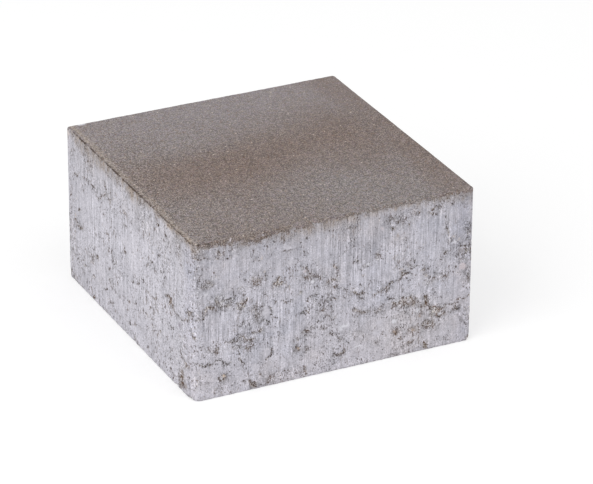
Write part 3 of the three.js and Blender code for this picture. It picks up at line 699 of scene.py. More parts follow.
def add_unseen_marks():
    """The right and back faces get marks like those of the other two, each face from its own seed."""
    for seed, name in enumerate(("right", "back")):
        draw = random.Random(seed)
        for table in (TEARS, SMEARS, EASED, TINGES, PITS, SPOTS, STONES, DRAGGED):
            table.setdefault(name, [])
        for _ in range(UNSEEN_SMEARS):
            middle = draw.uniform(2, 142), FACE_TALL * draw.random() ** 0.6
            wide = draw.uniform(1.5, 7)
            tall = draw.uniform(1.2, 3.5)
            SMEARS[name].append((*middle, wide, tall, draw.uniform(0.3, 0.6), draw.random() ** 2))
            for _ in range(draw.randint(2, 5)):
                across = middle[0] + draw.gauss(0, 0.7) * wide
                down = middle[1] + draw.gauss(0, 0.7) * tall
                path = wandering_path(draw, across, down)
                TEARS[name].append((draw.uniform(0.7, 1.4), draw.uniform(0.45, 0.95), *path))
        for _ in range(UNSEEN_TEARS):
            across, down = draw.uniform(2, 142), draw.uniform(4, 79)
            path = [(across, down), (across + draw.gauss(0, 1), down + draw.gauss(0, 1))]
            TEARS[name].append((draw.uniform(0.6, 1.0), draw.uniform(0.5, 0.9), *path))
        for *_, end in TEARS[name][::2]:
            SPOTS[name].append((*end, draw.uniform(0.35, 0.6)))
        for _ in range(UNSEEN_PITS):
            radius = draw.uniform(0.5, 1.5)
            PITS[name].append((draw.uniform(3, 141), draw.uniform(6, 78), radius, 0.5 * radius))
        for _ in range(UNSEEN_STONES):
            wide = draw.uniform(0.5, 2.2)
            tall = wide * draw.uniform(0.5, 1.4)
            colour = draw.choice(("pale", "pale", "white", "cream", "mauve", "pink"))
            STONES[name].append((draw.uniform(4, 140), draw.uniform(8, 76), wide, tall, colour))
        for _ in range(UNSEEN_DRAGS):
            place = draw.uniform(10, 134), draw.uniform(8, 60)
            DRAGGED[name].append((*place, draw.uniform(8, 26), draw.uniform(10, 22), draw.uniform(0.5, 1.0)))


def side_marks(points):
    """What the upright faces show at each point, as shares, with how deep their holes go in millimetres.

    The second result is the colour of the stone, or of a painted highlight, that shows there.
    """
    marks = {key: np.zeros(len(points)) for key in (*KEPT_MARKS, "depth")}
    inlay = np.tile(paint("pale")[:3], (len(points), 1))
    wander = [0.5 * grain(points, 2.2, seed) + 0.45 * grain(points, 0.9, seed + 30) for seed in (1, 2)]
    for name in FACES:
        across, down, inward = face_places(points, name)
        here = np.flatnonzero(inward < MARK_REACH)
        across, down = across[here], down[here]
        over, under = across + wander[0][here], down + wander[1][here]
        on_face = 1 - smooth_step(inward[here], MARK_EDGE, MARK_REACH)

        def raise_to(key, share):
            marks[key][here] = np.maximum(marks[key][here], on_face * share)

        for width, strength, *path in TEARS[name]:
            gap = from_path(over, under, path)
            raise_to("torn", strength * (1 - smooth_step(gap, 0, 1.25 * width)))
            raise_to("seam", strength * min(1, 1.3 / width) * np.clip(1 - gap / 0.8, 0, 1))
        for at, below, wide, tall, strength, brown in SMEARS[name]:
            spread = np.exp(-0.7 * (((over - at) / wide) ** 2 + ((under - below) / tall) ** 2) ** 1.5)
            raise_to("smear", strength * spread)
            raise_to("brown", strength * brown * spread)
        for at, below, radius, deep in PITS[name]:
            bowl = 1 - smooth_step(np.hypot(over - at, under - below) / radius, 0.35, 1.15)
            raise_to("pit", bowl)
            raise_to("depth", bowl * deep)
        for at, below, radius in SPOTS[name]:
            dot = 1 - smooth_step(np.hypot(over - at, under - below) / radius, 0.4, 1.5)
            raise_to("spot", dot)
            raise_to("depth", SPOT_DEPTH * dot)
        for at, below, wide, tall, colour in STONES[name]:
            gap = np.hypot((over - at) / wide, (under - below) / tall)
            raise_to("stone", 1 - smooth_step(gap, 0.6, 1.1))
            inlay[here[gap < 1.6]] = paint(colour)[:3]
        for *place, strength in DRAGGED[name]:
            raise_to("dragged", strength * blot(across, down, *place))
        for *place, warmth in TINGES[name]:
            marks["hue"][here] += on_face * warmth * blot(across, down, *place)
        for *place, ease in EASED[name]:
            spread = on_face * ease * blot(across, down, *place)
            marks["ease"][here] += spread
            for key in ("torn", "smear", "depth", "seam", "spot"):
                marks[key][here] *= 1 - spread
    return marks, inlay


def chipped(points):
    """How deep the chips go at each point."""
    depth = np.zeros(len(points))
    ragged = 0.35 * grain(points, 1.6, seed=21)
    for middle, radius, deep in CHIPS:
        gap = np.linalg.norm(points - np.array(middle), axis=1) / radius + ragged
        depth = np.maximum(depth, deep * (1 - smooth_step(gap, 0.45, 1.0)))
    return depth


def worth_detail(points, level):
    """Which faces of the net are split again at this level: those near marks, arrises and chips."""
    marks, _ = side_marks(points)
    marks["hole"] = marks["pit"] + marks["spot"]
    marks["chip"] = chipped(points)
    wanted = np.zeros(len(points), bool)
    for key, least in SHARE_TO_SPLIT[level].items():
        wanted |= marks[key] > least
    for gap, most in zip(edge_gaps(points), GAP_TO_SPLIT[level]):
        wanted |= gap < most
    return wanted


def net():
    """A box of the stone's size, netted finely where it has arrises, tears, pits or stones."""
    bm = bmesh.new()
    bmesh.ops.create_cube(bm, size=1.0)
    bmesh.ops.scale(bm, vec=(2 * HALF[0], 2 * HALF[1], HEIGHT), verts=bm.verts)
    bmesh.ops.translate(bm, vec=(0, 0, HEIGHT / 2), verts=bm.verts)
    for axis, length in enumerate((2 * HALF[0], 2 * HALF[1], HEIGHT)):
        along = [e for e in bm.edges if abs((e.verts[0].co - e.verts[1].co)[axis]) > length / 2]
        bmesh.ops.subdivide_edges(bm, edges=along, cuts=round(length / CELL) - 1, use_grid_fill=True)
    for level in (FINE, FINEST):
        centres = np.array([f.calc_center_median() for f in bm.faces])
        wanted = worth_detail(centres, level)
        edges = {e for f, want in zip(bm.faces, wanted) if want for e in f.edges}
        bmesh.ops.subdivide_edges(bm, edges=list(edges), cuts=1, use_grid_fill=True)
    return bm


def corner_radius(points):
    """The radius of the upright corner nearest to each point."""
    blunt = (points[:, 0] < 0) & (points[:, 1] < 0)
    return np.where(blunt, BLUNT_CORNER_RADIUS, CORNER_RADIUS)


def rounded(points):
    """Points of the box moved onto the block's round upright corners and arrises."""
    radius_here = corner_radius(points)[:, None]
    core = np.clip(points[:, :2], radius_here - HALF, HALF - radius_here)
    out = points[:, :2] - core
    reach = np.abs(out).max(axis=1)
    length = np.maximum(np.linalg.norm(out, axis=1), TINY)
    heading = out / length[:, None]
    plan = core + heading * reach[:, None]
    rise = points[:, 2].copy()
    for arris, edge, up in ((WEAR_ARRIS, HEIGHT, 1), (BED_ARRIS, 0, -1)):
        outward = np.maximum(reach - (radius_here[:, 0] - arris), 0)
        upward = np.maximum(up * (points[:, 2] - edge) + arris, 0)
        both = (outward > 0) & (upward > 0)
        pull = np.where(both, arris / np.maximum(np.hypot(outward, upward), TINY), 1)
        plan = plan + heading * (outward * (pull - 1))[:, None]
        rise = rise + up * upward * (pull - 1)
    return np.column_stack([plan, rise])


def rim_gap(points):
    """How far in from the block's outline each point lies, seen from above, as far as the corners' radius."""
    radius = corner_radius(points)[:, None]
    out = np.maximum(np.abs(points[:, :2]) - (HALF - radius), 0)
    return radius[:, 0] - np.linalg.norm(out, axis=1)


def lip_shadow(points):
    """The painted shadow under the lip along the top's arris, a dark line strongest on the left face."""
    share = np.zeros(len(points))
    rim = rim_gap(points)
    wander = grain(points, 7, seed=16)
    for name, stops in LIP_SHADE.items():
        across, down, inward = face_places(points, name)
        here = inward < LIP_REACH
        line = np.exp(-((np.hypot(rim - LIP_INSET, down - LIP_DROP) / LIP_WIDTH) ** 2))
        line = graded(across, stops) * line * (1 + 0.5 * wander)
        share[here] = np.maximum(share[here], line[here])
    return share


def crust_reach(points):
    """How far inside the sandy crust of the top each point lies, where 1 is about half the crust's depth."""
    reach = np.where(points[:, 2] > HEIGHT / 2, WELL_INSIDE, -WELL_INSIDE)
    lobes = grain(points, 2.6, seed=11, octaves=3)
    for name, stops in CRUST_DEPTH.items():
        across, down, inward = face_places(points, name)
        limit = graded(across, stops)
        share = (limit - down) / np.maximum(0.22, 0.5 * limit) + 0.8 * lobes * np.minimum(1, limit)
        here = (inward < MARK_REACH) & (down > CRUST_START)
        reach[here] = np.minimum(reach[here], share[here])
    return reach


def haze(points):
    """The beige stain under the top edge, as a share that fades downwards."""
    stain = np.zeros(len(points))
    cloud = grain(points, 6, seed=13, octaves=3)
    for name, stops in HAZE_DEPTH.items():
        across, down, inward = face_places(points, name)
        limit = graded(across, stops)
        here = inward < MARK_REACH
        share = 0.86 * (1 - smooth_step(down + 1.5 * cloud, 0.1 * limit, 1.3 * limit))
        share += 0.14 * (1 - smooth_step(down + 3 * cloud, 7, 20))
        stain[here] = np.maximum(stain[here], share[here])
    return stain


def blush(points):
    """Where the sides are pinker and rougher, as a share: low down, mostly on the front's right half."""
    down = HEIGHT - points[:, 2]
    across = points[:, 0] + HALF[0]
    right = smooth_step(across, 60, 100) * (1 - 0.7 * smooth_step(across, 120, 132))
    share = smooth_step(down, 44, 62) * (0.5 + 0.5 * right)
    share += 0.5 * np.exp(-(((across - 110) / 14) ** 2)) * smooth_step(down, 46, 54)
    return np.clip(share + 0.25 * grain(points, 12, seed=15), 0, 1.5)


def dulled_and_shaded(points):
    """Where the skin is a little greyer, as a share: high up on the sides, with painted shade on the blunt
    corner. Below 0 it is cleaner.
    """
    share = np.zeros(len(points))
    for name, strength in DULL.items():
        _, down, inward = face_places(points, name)
        here = strength * graded(down, ((4, 1), (14, 0.95), (26, 0.5), (40, 0))) * fading(inward)
        share = np.maximum(share, here)
    across, down, inward = face_places(points, "left")
    bands = ((0, 0), (8, 0.8), (13, 0.9), (20, 0.7), (30, 0), (60, 0), (73, -0.6), (132, -0.6), (140, 0))
    share += graded(across, bands) * graded(down, ((4, 0), (10, 1), (50, 1), (60, 0.3))) * fading(inward)
    across, down, inward = face_places(points, "front")
    clean = (1 - smooth_step(across, 10, 24)) * smooth_step(down, 44, 52)
    share -= 0.6 * clean * fading(inward)
    grey = (1 - smooth_step(across, 6, 14)) * graded(down, ((5, 0), (9, 0.8), (25, 0.8), (31, 0)))
    share += grey * fading(inward)
    # painted shade on the blunt corner, which faces the key light: its colour is darkened to match the flat
    # faces
    blunt = np.hypot(points[:, 0] + HALF[0], points[:, 1] + HALF[1])
    share += 0.5 * np.exp(-(((blunt - 1.9) / 1.6) ** 2))
    return share


def pocked(points):
    """How much of the skin is taken by small upright pock marks."""
    share = np.zeros(len(points))
    for name, much in POCKED.items():
        across, _, inward = face_places(points, name)
        much = much * (1 - 0.5 * smooth_step(across, 131, 139))
        share = np.maximum(share, much * fading(inward))
    return share


def sound_share(points):
    """Where the skin is whole, as a share."""
    share = np.zeros(len(points))
    for name in FACES:
        across, down, inward = face_places(points, name)
        here = inward < MARK_REACH
        for place in SOUND[name]:
            share[here] = np.maximum(share[here], blot(across[here], down[here], *place))
    return share


def warm_tone(points):
    """Where the top is browner and darker, as a share: across its middle, at its right edge and in front."""
    x = points[:, 0] + HALF[0]
    y = HALF[1] - points[:, 1]
    middle = graded(x, ((0, 74), (50, 74), (90, 66), (144, 63)))
    height = graded(x, ((0, 0.58), (27, 0.96), (45, 1.05), (90, 0.9), (117, 0.9), (144, 0.6)))
    behind = graded(x, ((0, 34), (27, 22), (90, 28), (144, 42)))
    before = graded(x, ((0, 38), (90, 33), (117, 48), (144, 60)))
    band = height * np.exp(-(((y - middle) / np.where(y < middle, behind, before)) ** 2))
    right = graded(y, ((0, 1.1), (30, 1.2), (90, 1.6), (130, 1.5), (144, 1.1)))
    right = 0.5 * smooth_step(x, 116, 136) * right
    front = graded(x, ((0, 0.15), (18, 0.42), (50, 0.42), (76, 0.24), (100, 0.12))) * smooth_step(y, 84, 104)
    tone = np.maximum(band, np.maximum(right, front))
    return np.clip(tone + 0.12 * grain(points, 24, seed=12), 0, 1)


def coarseness(points):
    """How strongly the top's grain stands out: less toward the back, and more along the left edge."""
    x = points[:, 0] + HALF[0]
    far = (points[:, 1] / HALF[1] + 1) / 2
    behind = graded(x, ((9, 1.42), (25, 1.36), (47, 1.12), (80, 1.02), (120, 0.85)))
    before = graded(x, ((9, 1.2), (25, 1.05), (47, 0.99), (80, 0.95), (120, 0.92)))
    gain = before + (behind - before) * smooth_step(far, 0.62, 0.82)
    return gain * (0.88 - 0.42 * smooth_step(far, 0.5, 0.92))


def lit_rim_highlight(points):
    """A painted highlight: the lighter strip of the top just inside its left edge, where the top of the
    edge's burr catches the light.
    """
    along = HALF[1] - points[:, 1]
    across = points[:, 0] + HALF[0] + 0.7 * smooth_step(along, 95, 112)
    fade = graded(along, ((0, 1.05), (40, 0.95), (60, 0.7), (75, 0.55), (100, 0.9), (144, 1.05)))
    return fade * smooth_step(across, 0.8, 1.8) * (1 - smooth_step(across, 2.6, 4.6))


def grimy_edge(points, on_top):
    """The dirt along both sides of the top's edge, as a share that comes and goes along it."""
    top_gap, _, _ = edge_gaps(points)
    line = np.exp(-((top_gap / (2.4 - 1.4 * on_top)) ** 2))
    patches = np.clip(0.75 + 0.6 * grain(points, 6, seed=18), 0, 1.2)
    return line * patches * graded(points[:, 0], ((-16, 1), (0, 0.5), (24, 0.5), (40, 1)))


def facing_shares(normals):
    """How much each point belongs to the top, to the bed and to the sides."""
    on_top = smooth_step(normals[:, 2], 0.6, 0.9)
    on_bed = smooth_step(-normals[:, 2], 0.6, 0.9)
    return on_top, on_bed, 1 - np.maximum(on_top, on_bed)


def relief(block, normals, marks, chip, lip_groove_and_shade):
    """How far the real surface stands proud of the block at each point, in millimetres."""
    on_top, on_bed, on_side = facing_shares(normals)
    top_gap, bottom_gap, _ = edge_gaps(block)
    rough = grain(block, 1.5, seed=3, octaves=3)
    uneven = grain(block, 5, seed=4, octaves=3)
    ragged = grain(block, 2.4, seed=6, octaves=3)
    low_down = smooth_step(HEIGHT - block[:, 2], 45, 70)
    wear_edge = np.exp(-((top_gap / NICK_REACH) ** 2))
    bed_edge = np.exp(-((bottom_gap / NICK_REACH) ** 2))

    rise = SWELL * (1 - on_bed) * grain(block, 38, seed=5)
    rise += on_top * TOP_GRAIN * grain(block, 1.8, seed=7)
    rise -= on_bed * BED_HOLLOWS * np.clip(0.3 + grain(block, 2.6, seed=8, octaves=3), 0, 1)
    rise += on_side * (SIDE_GRAIN + LOW_GRAIN * low_down + SMEAR_GRAIN * marks["smear"]) * (rough + uneven)
    rise -= on_side * marks["torn"] * (TEAR_DEPTH + TEAR_RAGGED * np.clip(rough + 0.3, 0, 1.2))
    rise -= on_side * marks["depth"]
    rise += STONE_RISE * marks["stone"] * on_side * (1 - marks["pit"])
    rise += wear_edge * WEAR_NICKS * ragged + bed_edge * BED_NICKS * ragged
    # a shallow groove along the line of the painted lip shadow
    rise -= LIP_DEPTH * lip_groove_and_shade
    rise -= chip * (1 + 0.3 * rough)
    return rise


def lay_out(mesh, box):
    """A flat map of the six faces, each unfolded in one piece, for the baked finish."""
    side, across = 2 * HALF[0], 2 * HALF[1]
    gap = SHEET_GAP
    sheet = max(2 * side + 3 * gap, across + 2 * HEIGHT + 4 * gap)
    corners = np.empty(len(mesh.loops), np.int32)
    mesh.loops.foreach_get("vertex_index", corners)
    starts = np.empty(len(mesh.polygons), np.int32)
    totals = np.empty(len(mesh.polygons), np.int32)
    mesh.polygons.foreach_get("loop_start", starts)
    mesh.polygons.foreach_get("loop_total", totals)
    middles = np.add.reduceat(box[corners], starts) / totals[:, None]
    shares = (middles - (0, 0, HEIGHT / 2)) / (HALF[0], HALF[1], HEIGHT / 2)
    axis = np.abs(shares).argmax(axis=1)
    positive = shares[np.arange(len(axis)), axis] > 0
    axis, positive = np.repeat(axis, totals), np.repeat(positive, totals)
    x, y, z = (box[corners] + (HALF[0], HALF[1], 0)).T
    low_row, high_row, top_row = ((row + 1) * gap + row * HEIGHT for row in range(3))
    # For each face: its axis, whether it is on that axis's positive side, and its place on the sheet.
    places = (
        (2, True, x + gap, y + top_row),
        (2, False, side - x + side + 2 * gap, y + top_row),
        (1, False, x + gap, z + low_row),
        (0, True, y + side + 2 * gap, z + low_row),
        (1, True, side - x + gap, z + high_row),
        (0, False, across - y + side + 2 * gap, z + high_row),
    )
    flat = np.zeros((len(corners), 2))
    for face_axis, face_positive, u, v in places:
        here = (axis == face_axis) & (positive == face_positive)
        flat[here] = np.column_stack([u, v])[here] / sheet
    mesh.uv_layers.new(name="OFBake").data.foreach_set("uv", flat.ravel())


def build_stone():
    """The stone's skin: the net, rounded like the block, with its relief, flat map and marks."""
    add_unseen_marks()
    bm = net()
    box = np.array([v.co for v in bm.verts])
    block = rounded(box)
    for v, place in zip(bm.verts, block):
        v.co = place
    bm.normal_update()
    normals = np.array([v.normal for v in bm.verts])

    marks, inlay = side_marks(block)
    on_top, on_bed, _ = facing_shares(normals)
    marks["smear"] = np.maximum(marks["smear"], BED_SMEAR * on_bed)
    chip = chipped(block)
    lip_groove_and_shade = lip_shadow(block)
    moved = block + normals * relief(block, normals, marks, chip, lip_groove_and_shade)[:, None]
    moved[:, 2] = np.maximum(moved[:, 2], 0)  # nothing sinks into the floor

    for v, place in zip(bm.verts, moved):
        v.co = place * MM
    for f in bm.faces:
        f.smooth = True
    mesh = bpy.data.meshes.new("stone_skin")
    bm.to_mesh(mesh)
    bm.free()
    lay_out(mesh, box)
    shares = {key: marks[key] for key in KEPT_MARKS}
    shares |= {
        "crust": crust_reach(block),
        "sound": sound_share(block),
        "pocked": pocked(block),
        "motley": graded(block[:, 0], ((-72, 1), (-50, 0.6), (-10, 0.25))),
        "coarse": coarseness(block),
        "far": (block[:, 1] / HALF[1] + 1) / 2,
        # greyer places, and painted shade on the blunt corner
        "dulled_and_shaded": dulled_and_shaded(block),
        "edge": grimy_edge(block, on_top),
        "haze": haze(block),
        "warm": warm_tone(block),
        # the painted shadow under the lip
        "lip_groove_and_shade": lip_groove_and_shade,
        # a painted highlight along the top's left edge
        "rim": lit_rim_highlight(block) * on_top,
        "blush": blush(block),
        "chip": np.clip(chip / 0.4, 0, 1),
    }
    for name, values in shares.items():
        layer = mesh.attributes.new(name, "FLOAT", "POINT")
        layer.data.foreach_set("value", values.astype(np.float32))
    layer = mesh.attributes.new("inlay", "FLOAT_COLOR", "POINT")
    layer.data.foreach_set("color", np.column_stack([inlay, np.ones(len(inlay))]).astype(np.float32).ravel())
    piece = bpy.data.objects.new("paving_stone_skin", mesh)
    bpy.context.scene.collection.objects.link(piece)
    return piece


class Finish:
    """Lays out the nodes of a material or of the world. Lengths given to it are in millimetres."""

    def __init__(self, owner):
        owner.use_nodes = True
        self.tree = owner.node_tree
        self.tree.nodes.clear()
        self.kept = {}

    def node(self, kind, sockets=(), **settings):
        """A new node with these settings. Each socket gets a number, a colour or another node's output."""
        made = self.tree.nodes.new(kind)
        for key, value in settings.items():
            setattr(made, key, value)
        for key, value in dict(sockets).items():
            if isinstance(value, bpy.types.NodeSocket):
                self.tree.links.new(value, made.inputs[key])
            else:
                made.inputs[key].default_value = value
        return made

    def once(self, kind, output, **settings):
        """An output of a node that many others read, made the first time that one asks for it."""
        key = kind, *settings.values()
        if key not in self.kept:
            self.kept[key] = self.node(kind, **settings)
        return self.kept[key].outputs[output]

    def share(self, name):
        """One of the numbers that the stone's skin keeps at each of its points."""
        return self.once("ShaderNodeAttribute", "Fac", attribute_name=name)

    def maths(self, operation, *values, clamp=False):
        return self.node("ShaderNodeMath", enumerate(values), operation=operation, use_clamp=clamp).outputs[0]

    def product(self, *values):
        result = values[0]
        for value in values[1:]:
            result = self.maths("MULTIPLY", result, value)
        return result

    def capped(self, value, factor):
        """value times factor, and no more than 1."""
        return self.maths("MULTIPLY", value, factor, clamp=True)

    def line(self, value, slope, start, clamp=False):
        """value times slope, and start added."""
        return self.maths("MULTIPLY_ADD", value, slope, start, clamp=clamp)

    def plus(self, first, second, clamp=False):
        return self.maths("ADD", first, second, clamp=clamp)

    def most(self, first, second):
        return self.maths("MAXIMUM", first, second)

    def centred(self, value):
        """Soft noise brought down, so that its middle is 0."""
        return self.maths("SUBTRACT", value, 0.5)

    def swing(self, value, amount):
        """Soft noise turned into a factor round 1 that goes this much either way."""
        return self.line(self.centred(value), self.maths("MULTIPLY", amount, NOISE_SPREAD), 1.0)

    def between(self, value, start, end, low=0.0, high=1.0):
        """value carried from start..end to low..high, smoothly and no further."""
        sockets = {"Value": value, "From Min": start, "From Max": end, "To Min": low, "To Max": high}
        return self.node("ShaderNodeMapRange", sockets, interpolation_type="SMOOTHSTEP").outputs[0]

    def pattern(self, kind, size, stretch, seed, **sockets):
        """A pattern on the object's own coordinates, which comes out this much longer along X, Y and Z."""
        turned = self.node("ShaderNodeMapping", {
            "Vector": self.once("ShaderNodeTexCoord", "Object"),
            "Location": [seed * step for step in SEED_SHIFT],
            "Scale": [1 / s for s in stretch],
        })
        return self.node(kind, {"Vector": turned.outputs[0], "Scale": 1 / (size * MM), **sockets})

    def speckle(self, size, detail=2, rough=0.6, stretch=(1, 1, 1), seed=0):
        """Soft noise from 0 to 1 with lumps of this size."""
        made = self.pattern("ShaderNodeTexNoise", size, stretch, seed, Detail=detail, Roughness=rough)
        return made.outputs["Fac"]

    def cells(self, size, seed=0, stretch=(1, 1, 1)):
        """Grains of this size: how far from each grain's middle, and two numbers of its own for each."""
        made = self.pattern("ShaderNodeTexVoronoi", size, stretch, seed)
        apart = self.node("ShaderNodeSeparateColor", {0: made.outputs["Color"]})
        return made.outputs["Distance"], apart.outputs[0], apart.outputs[1]

    def blend(self, share, first, second, kind="MIX"):
        """The first colour where share is 0, and the second where it is 1."""
        sockets = {"Factor": share, 6: first, 7: second}
        return self.node("ShaderNodeMix", sockets, data_type="RGBA", blend_type=kind).outputs[2]

    def shade(self, colour, amount):
        """colour made lighter or darker all through: amount is 1 where it stays."""
        sockets = {0: colour[:3] if isinstance(colour, tuple) else colour, "Scale": amount}
        return self.node("ShaderNodeVectorMath", sockets, operation="SCALE").outputs[0]

    def seen_directly(self):
        """1 for rays that come from the camera, a mirror or glass, and 0 for those that only light things."""
        kinds = ("Camera", "Glossy", "Transmission")
        camera, mirror, glass = (self.once("ShaderNodeLightPath", f"Is {kind} Ray") for kind in kinds)
        return self.most(self.most(camera, mirror), glass)

    def end(self, kind, surface):
        self.node(kind, {"Surface": surface})


class Concrete(Finish):
    """Pressed concrete: a dragged and torn skin on the sides, and a crust of sand on the top."""

    def __init__(self, owner):
        super().__init__(owner)
        self.drag_fine = self.speckle(0.55, rough=0.5, stretch=(1, 1.5, 30), seed=1)
        self.grit = self.speckle(0.62, rough=0.5, stretch=(1, 1.6, 1.2), seed=4)
        self.mottle = self.speckle(2, stretch=(1, 1.3, 1.2), seed=5)
        self.cloud = self.speckle(8, detail=3, stretch=(1, 1, 1.3), seed=6)
        self.small_marks = self.speckle(0.58, stretch=(1, 1.6, 1.55), seed=7)
        self.large_marks = self.speckle(1.15, detail=3, rough=0.7, stretch=(1, 1.4, 1.8), seed=17)
        self.cluster = self.speckle(5, stretch=(1, 1, 1.2), seed=22)
        self.lump = self.speckle(0.7, stretch=(1, 1.2, 1), seed=10)
        self.tinge = self.line(self.share("hue"), 0.07, self.speckle(22, detail=5, rough=0.7, seed=36))
        self.tint = self.between(self.cloud, 0.42, 0.58)
        self.pull = self.line(self.share("dragged"), 0.95, 0.33)
        self.bared = self.most(self.share("torn"), self.share("smear"))
        self.whole = self.line(self.share("stone"), -0.85, 1.0)
        self.gathered = self.line(self.share("sound"), -0.08, self.product(self.centred(self.cluster), 0.3))
        self.haze = self.product(
            self.share("haze"),
            self.swing(self.mottle, 0.5),
            self.line(self.centred(self.speckle(2.4, stretch=(1, 1.3, 7), seed=25)), 2.4, 1.0),
        )
        worn = self.line(self.share("sound"), -0.12, self.line(self.share("torn"), 0.3, self.share("smear")))
        self.tone = self.product(
            self.swing(self.drag_fine, self.product(self.pull, 0.31)),
            self.swing(self.speckle(1.7, stretch=(1, 1.2, 24), seed=2), self.product(self.pull, 0.15)),
            self.swing(self.speckle(4.5, rough=0.5, stretch=(1, 1, 8), seed=3), 0.06),
            self.swing(self.grit, self.line(worn, 0.4, 0.28)),
            self.swing(self.mottle, self.line(worn, 0.25, 0.13)),
            self.swing(self.cloud, 0.13),
        )

    def bare_skin(self):
        """The skin of the sides before its dirt: warmer and cooler places, the greyer and eased ones, and the
        painted shade on the blunt corner.
        """
        pocked = self.share("pocked")
        skin = self.blend(self.between(self.mottle, 0.35, 0.65), paint("skin"), paint("paler skin"))
        skin = self.blend(self.product(self.share("blush"), 0.6), skin, paint("blushed skin"))
        strong = self.between(pocked, 0.6, 0.8, 1.0, 0.55)
        for limit, colour in ((0.7, WARMER_SKIN), (0.3, COOLER_SKIN)):
            share = self.product(self.between(self.tinge, 0.5, limit), strong)
            skin = self.blend(share, skin, colour, "MULTIPLY")
        skin = self.blend(self.capped(pocked, 1.1), skin, paint("pocked skin"))
        # the greyer places and the painted shade on the blunt corner darken the skin
        dulled_and_shaded = self.line(self.share("dulled_and_shaded"), -0.06, 1.0)
        return self.shade(skin, self.product(self.tone, dulled_and_shaded, self.line(self.share("ease"), 0.28, 1.0)))

    def stained(self, skin):
        """The beige haze under the top edge, and the brown and grey of smeared places."""
        torn, smear, brown = (self.share(name) for name in ("torn", "smear", "brown"))
        stain = self.blend(self.between(self.tinge, 0.5, 0.6), paint("haze"), paint("warm haze"))
        share = self.maths("MINIMUM", self.product(self.haze, 0.85), 1.0)
        skin = self.blend(share, skin, self.shade(stain, self.tone))
        browned = self.line(torn, 0.8, brown, clamp=True)
        grubby = self.blend(browned, paint("grey smear"), paint("brown smear"))
        patchy = self.product(
            self.line(brown, 0.4, self.product(smear, 0.5)),
            self.between(self.mottle, 0.35, 0.65, 1.5, 0.2),
        )
        pocked = self.line(self.share("pocked"), 1.7, -0.7)
        scuffed = self.product(torn, pocked, self.swing(self.large_marks, 1.0))
        return self.blend(self.plus(scuffed, patchy, clamp=True), skin, self.shade(grubby, self.tone))

    def marked(self, skin):
        """The dark marks: hollows, pores, specks, dashes, spots and scratches. Most are where it is torn.
        Their darkness is partly painted shade in pits and holes, and partly darker matrix.
        """
        torn, smear, brown, pit = (self.share(name) for name in ("torn", "smear", "brown", "pit"))
        ups_and_downs = self.centred(self.small_marks)
        drag = self.centred(self.drag_fine)
        loose = self.plus(self.gathered, self.line(torn, 0.035, self.product(smear, 0.09)))
        loose = self.line(drag, -0.16, self.line(pit, 0.08, loose))
        hollow = self.between(self.plus(self.large_marks, loose), 0.65, 0.75)
        # the pits are darkened: partly painted shade in the holes, partly darker matrix
        self.hollow = self.most(self.product(hollow, 0.5), self.between(pit, 0.3, 0.7))
        pore = self.plus(self.small_marks, self.line(self.haze, 0.06, loose))
        pore = self.between(pore, self.line(torn, -0.05, 0.632), 0.68)
        vein = self.centred(self.speckle(1.9, detail=3, rough=0.65, stretch=(1, 1.4, 1.1), seed=27))
        vein = self.product(
            self.between(self.maths("ABSOLUTE", vein), 0.03, 0.008),
            self.between(self.small_marks, 0.42, 0.54),
            self.between(self.most(torn, self.product(smear, 0.6)), 0.12, 0.45),
        )
        self.pore = self.most(pore, vein)
        speck = self.speckle(1, detail=1, rough=0.5, stretch=(1, 1.15, 1.3), seed=31)
        speck = self.plus(speck, self.product(self.gathered, 0.6))
        speck = self.between(self.line(self.bared, 0.095, speck), 0.7, 0.73)
        seam = self.line(drag, -0.8, self.line(ups_and_downs, 1.4, self.share("seam")))
        self.speck = self.most(speck, self.between(seam, 0.5, 0.72))
        dash = self.speckle(0.8, detail=1, rough=0.5, stretch=(1, 1.2, 3.3), seed=23)
        dash = self.line(drag, -0.2, self.plus(dash, self.gathered))
        dash = self.product(self.between(dash, 0.66, 0.695), self.share("pocked"))
        spot = self.between(self.line(ups_and_downs, 1.2, self.share("spot")), 0.35, 0.65)

        black = self.blend(self.tint, paint("pore"), paint("brown pore"))
        black = self.blend(self.capped(brown, 0.9), black, paint("stained pore"))
        warm = self.product(self.between(self.tinge, 0.48, 0.6), self.bared, 0.75)
        black = self.blend(warm, black, paint("warm pore"))
        shadow = self.blend(self.tint, paint("hollow"), paint("brown hollow"))
        for share, strength, colour in (
            (self.hollow, 0.3, self.shade(shadow, self.swing(self.grit, 0.6))),
            (dash, 0.8, self.blend(self.tint, paint("dash"), paint("brown dash"))),
            (self.pore, self.line(torn, -0.15, 0.82), black),
            (self.speck, 0.8, black),
            (spot, 0.82, self.blend(self.capped(brown, 1.4), paint("spot"), paint("brown spot"))),
        ):
            skin = self.blend(self.product(share, self.whole, strength), skin, colour)
        scratch = self.speckle(0.6, detail=1, rough=0.5, stretch=(1, 1.6, 13), seed=18)
        scratch = self.between(scratch, 0.64, 0.72)
        return self.shade(skin, self.line(self.product(scratch, self.pull), -0.3, 1.0))

    def glinting(self, skin):
        """Pale grains that catch the light."""
        bright = self.plus(self.speckle(0.8, seed=8), self.product(self.centred(self.cluster), -0.2))
        glint = self.between(self.line(self.bared, 0.08, bright), 0.63, 0.68)
        glint = self.product(glint, self.line(self.bared, 0.6, 0.27))
        spark = self.speckle(0.9, detail=1, rough=0.5, stretch=(1, 1, 1.1), seed=32)
        spark = self.between(self.line(self.bared, 0.07, spark), 0.72, 0.75)
        glint = self.most(glint, self.product(spark, 0.75))
        return self.blend(glint, skin, self.blend(self.tint, paint("glint"), paint("warm glint")))

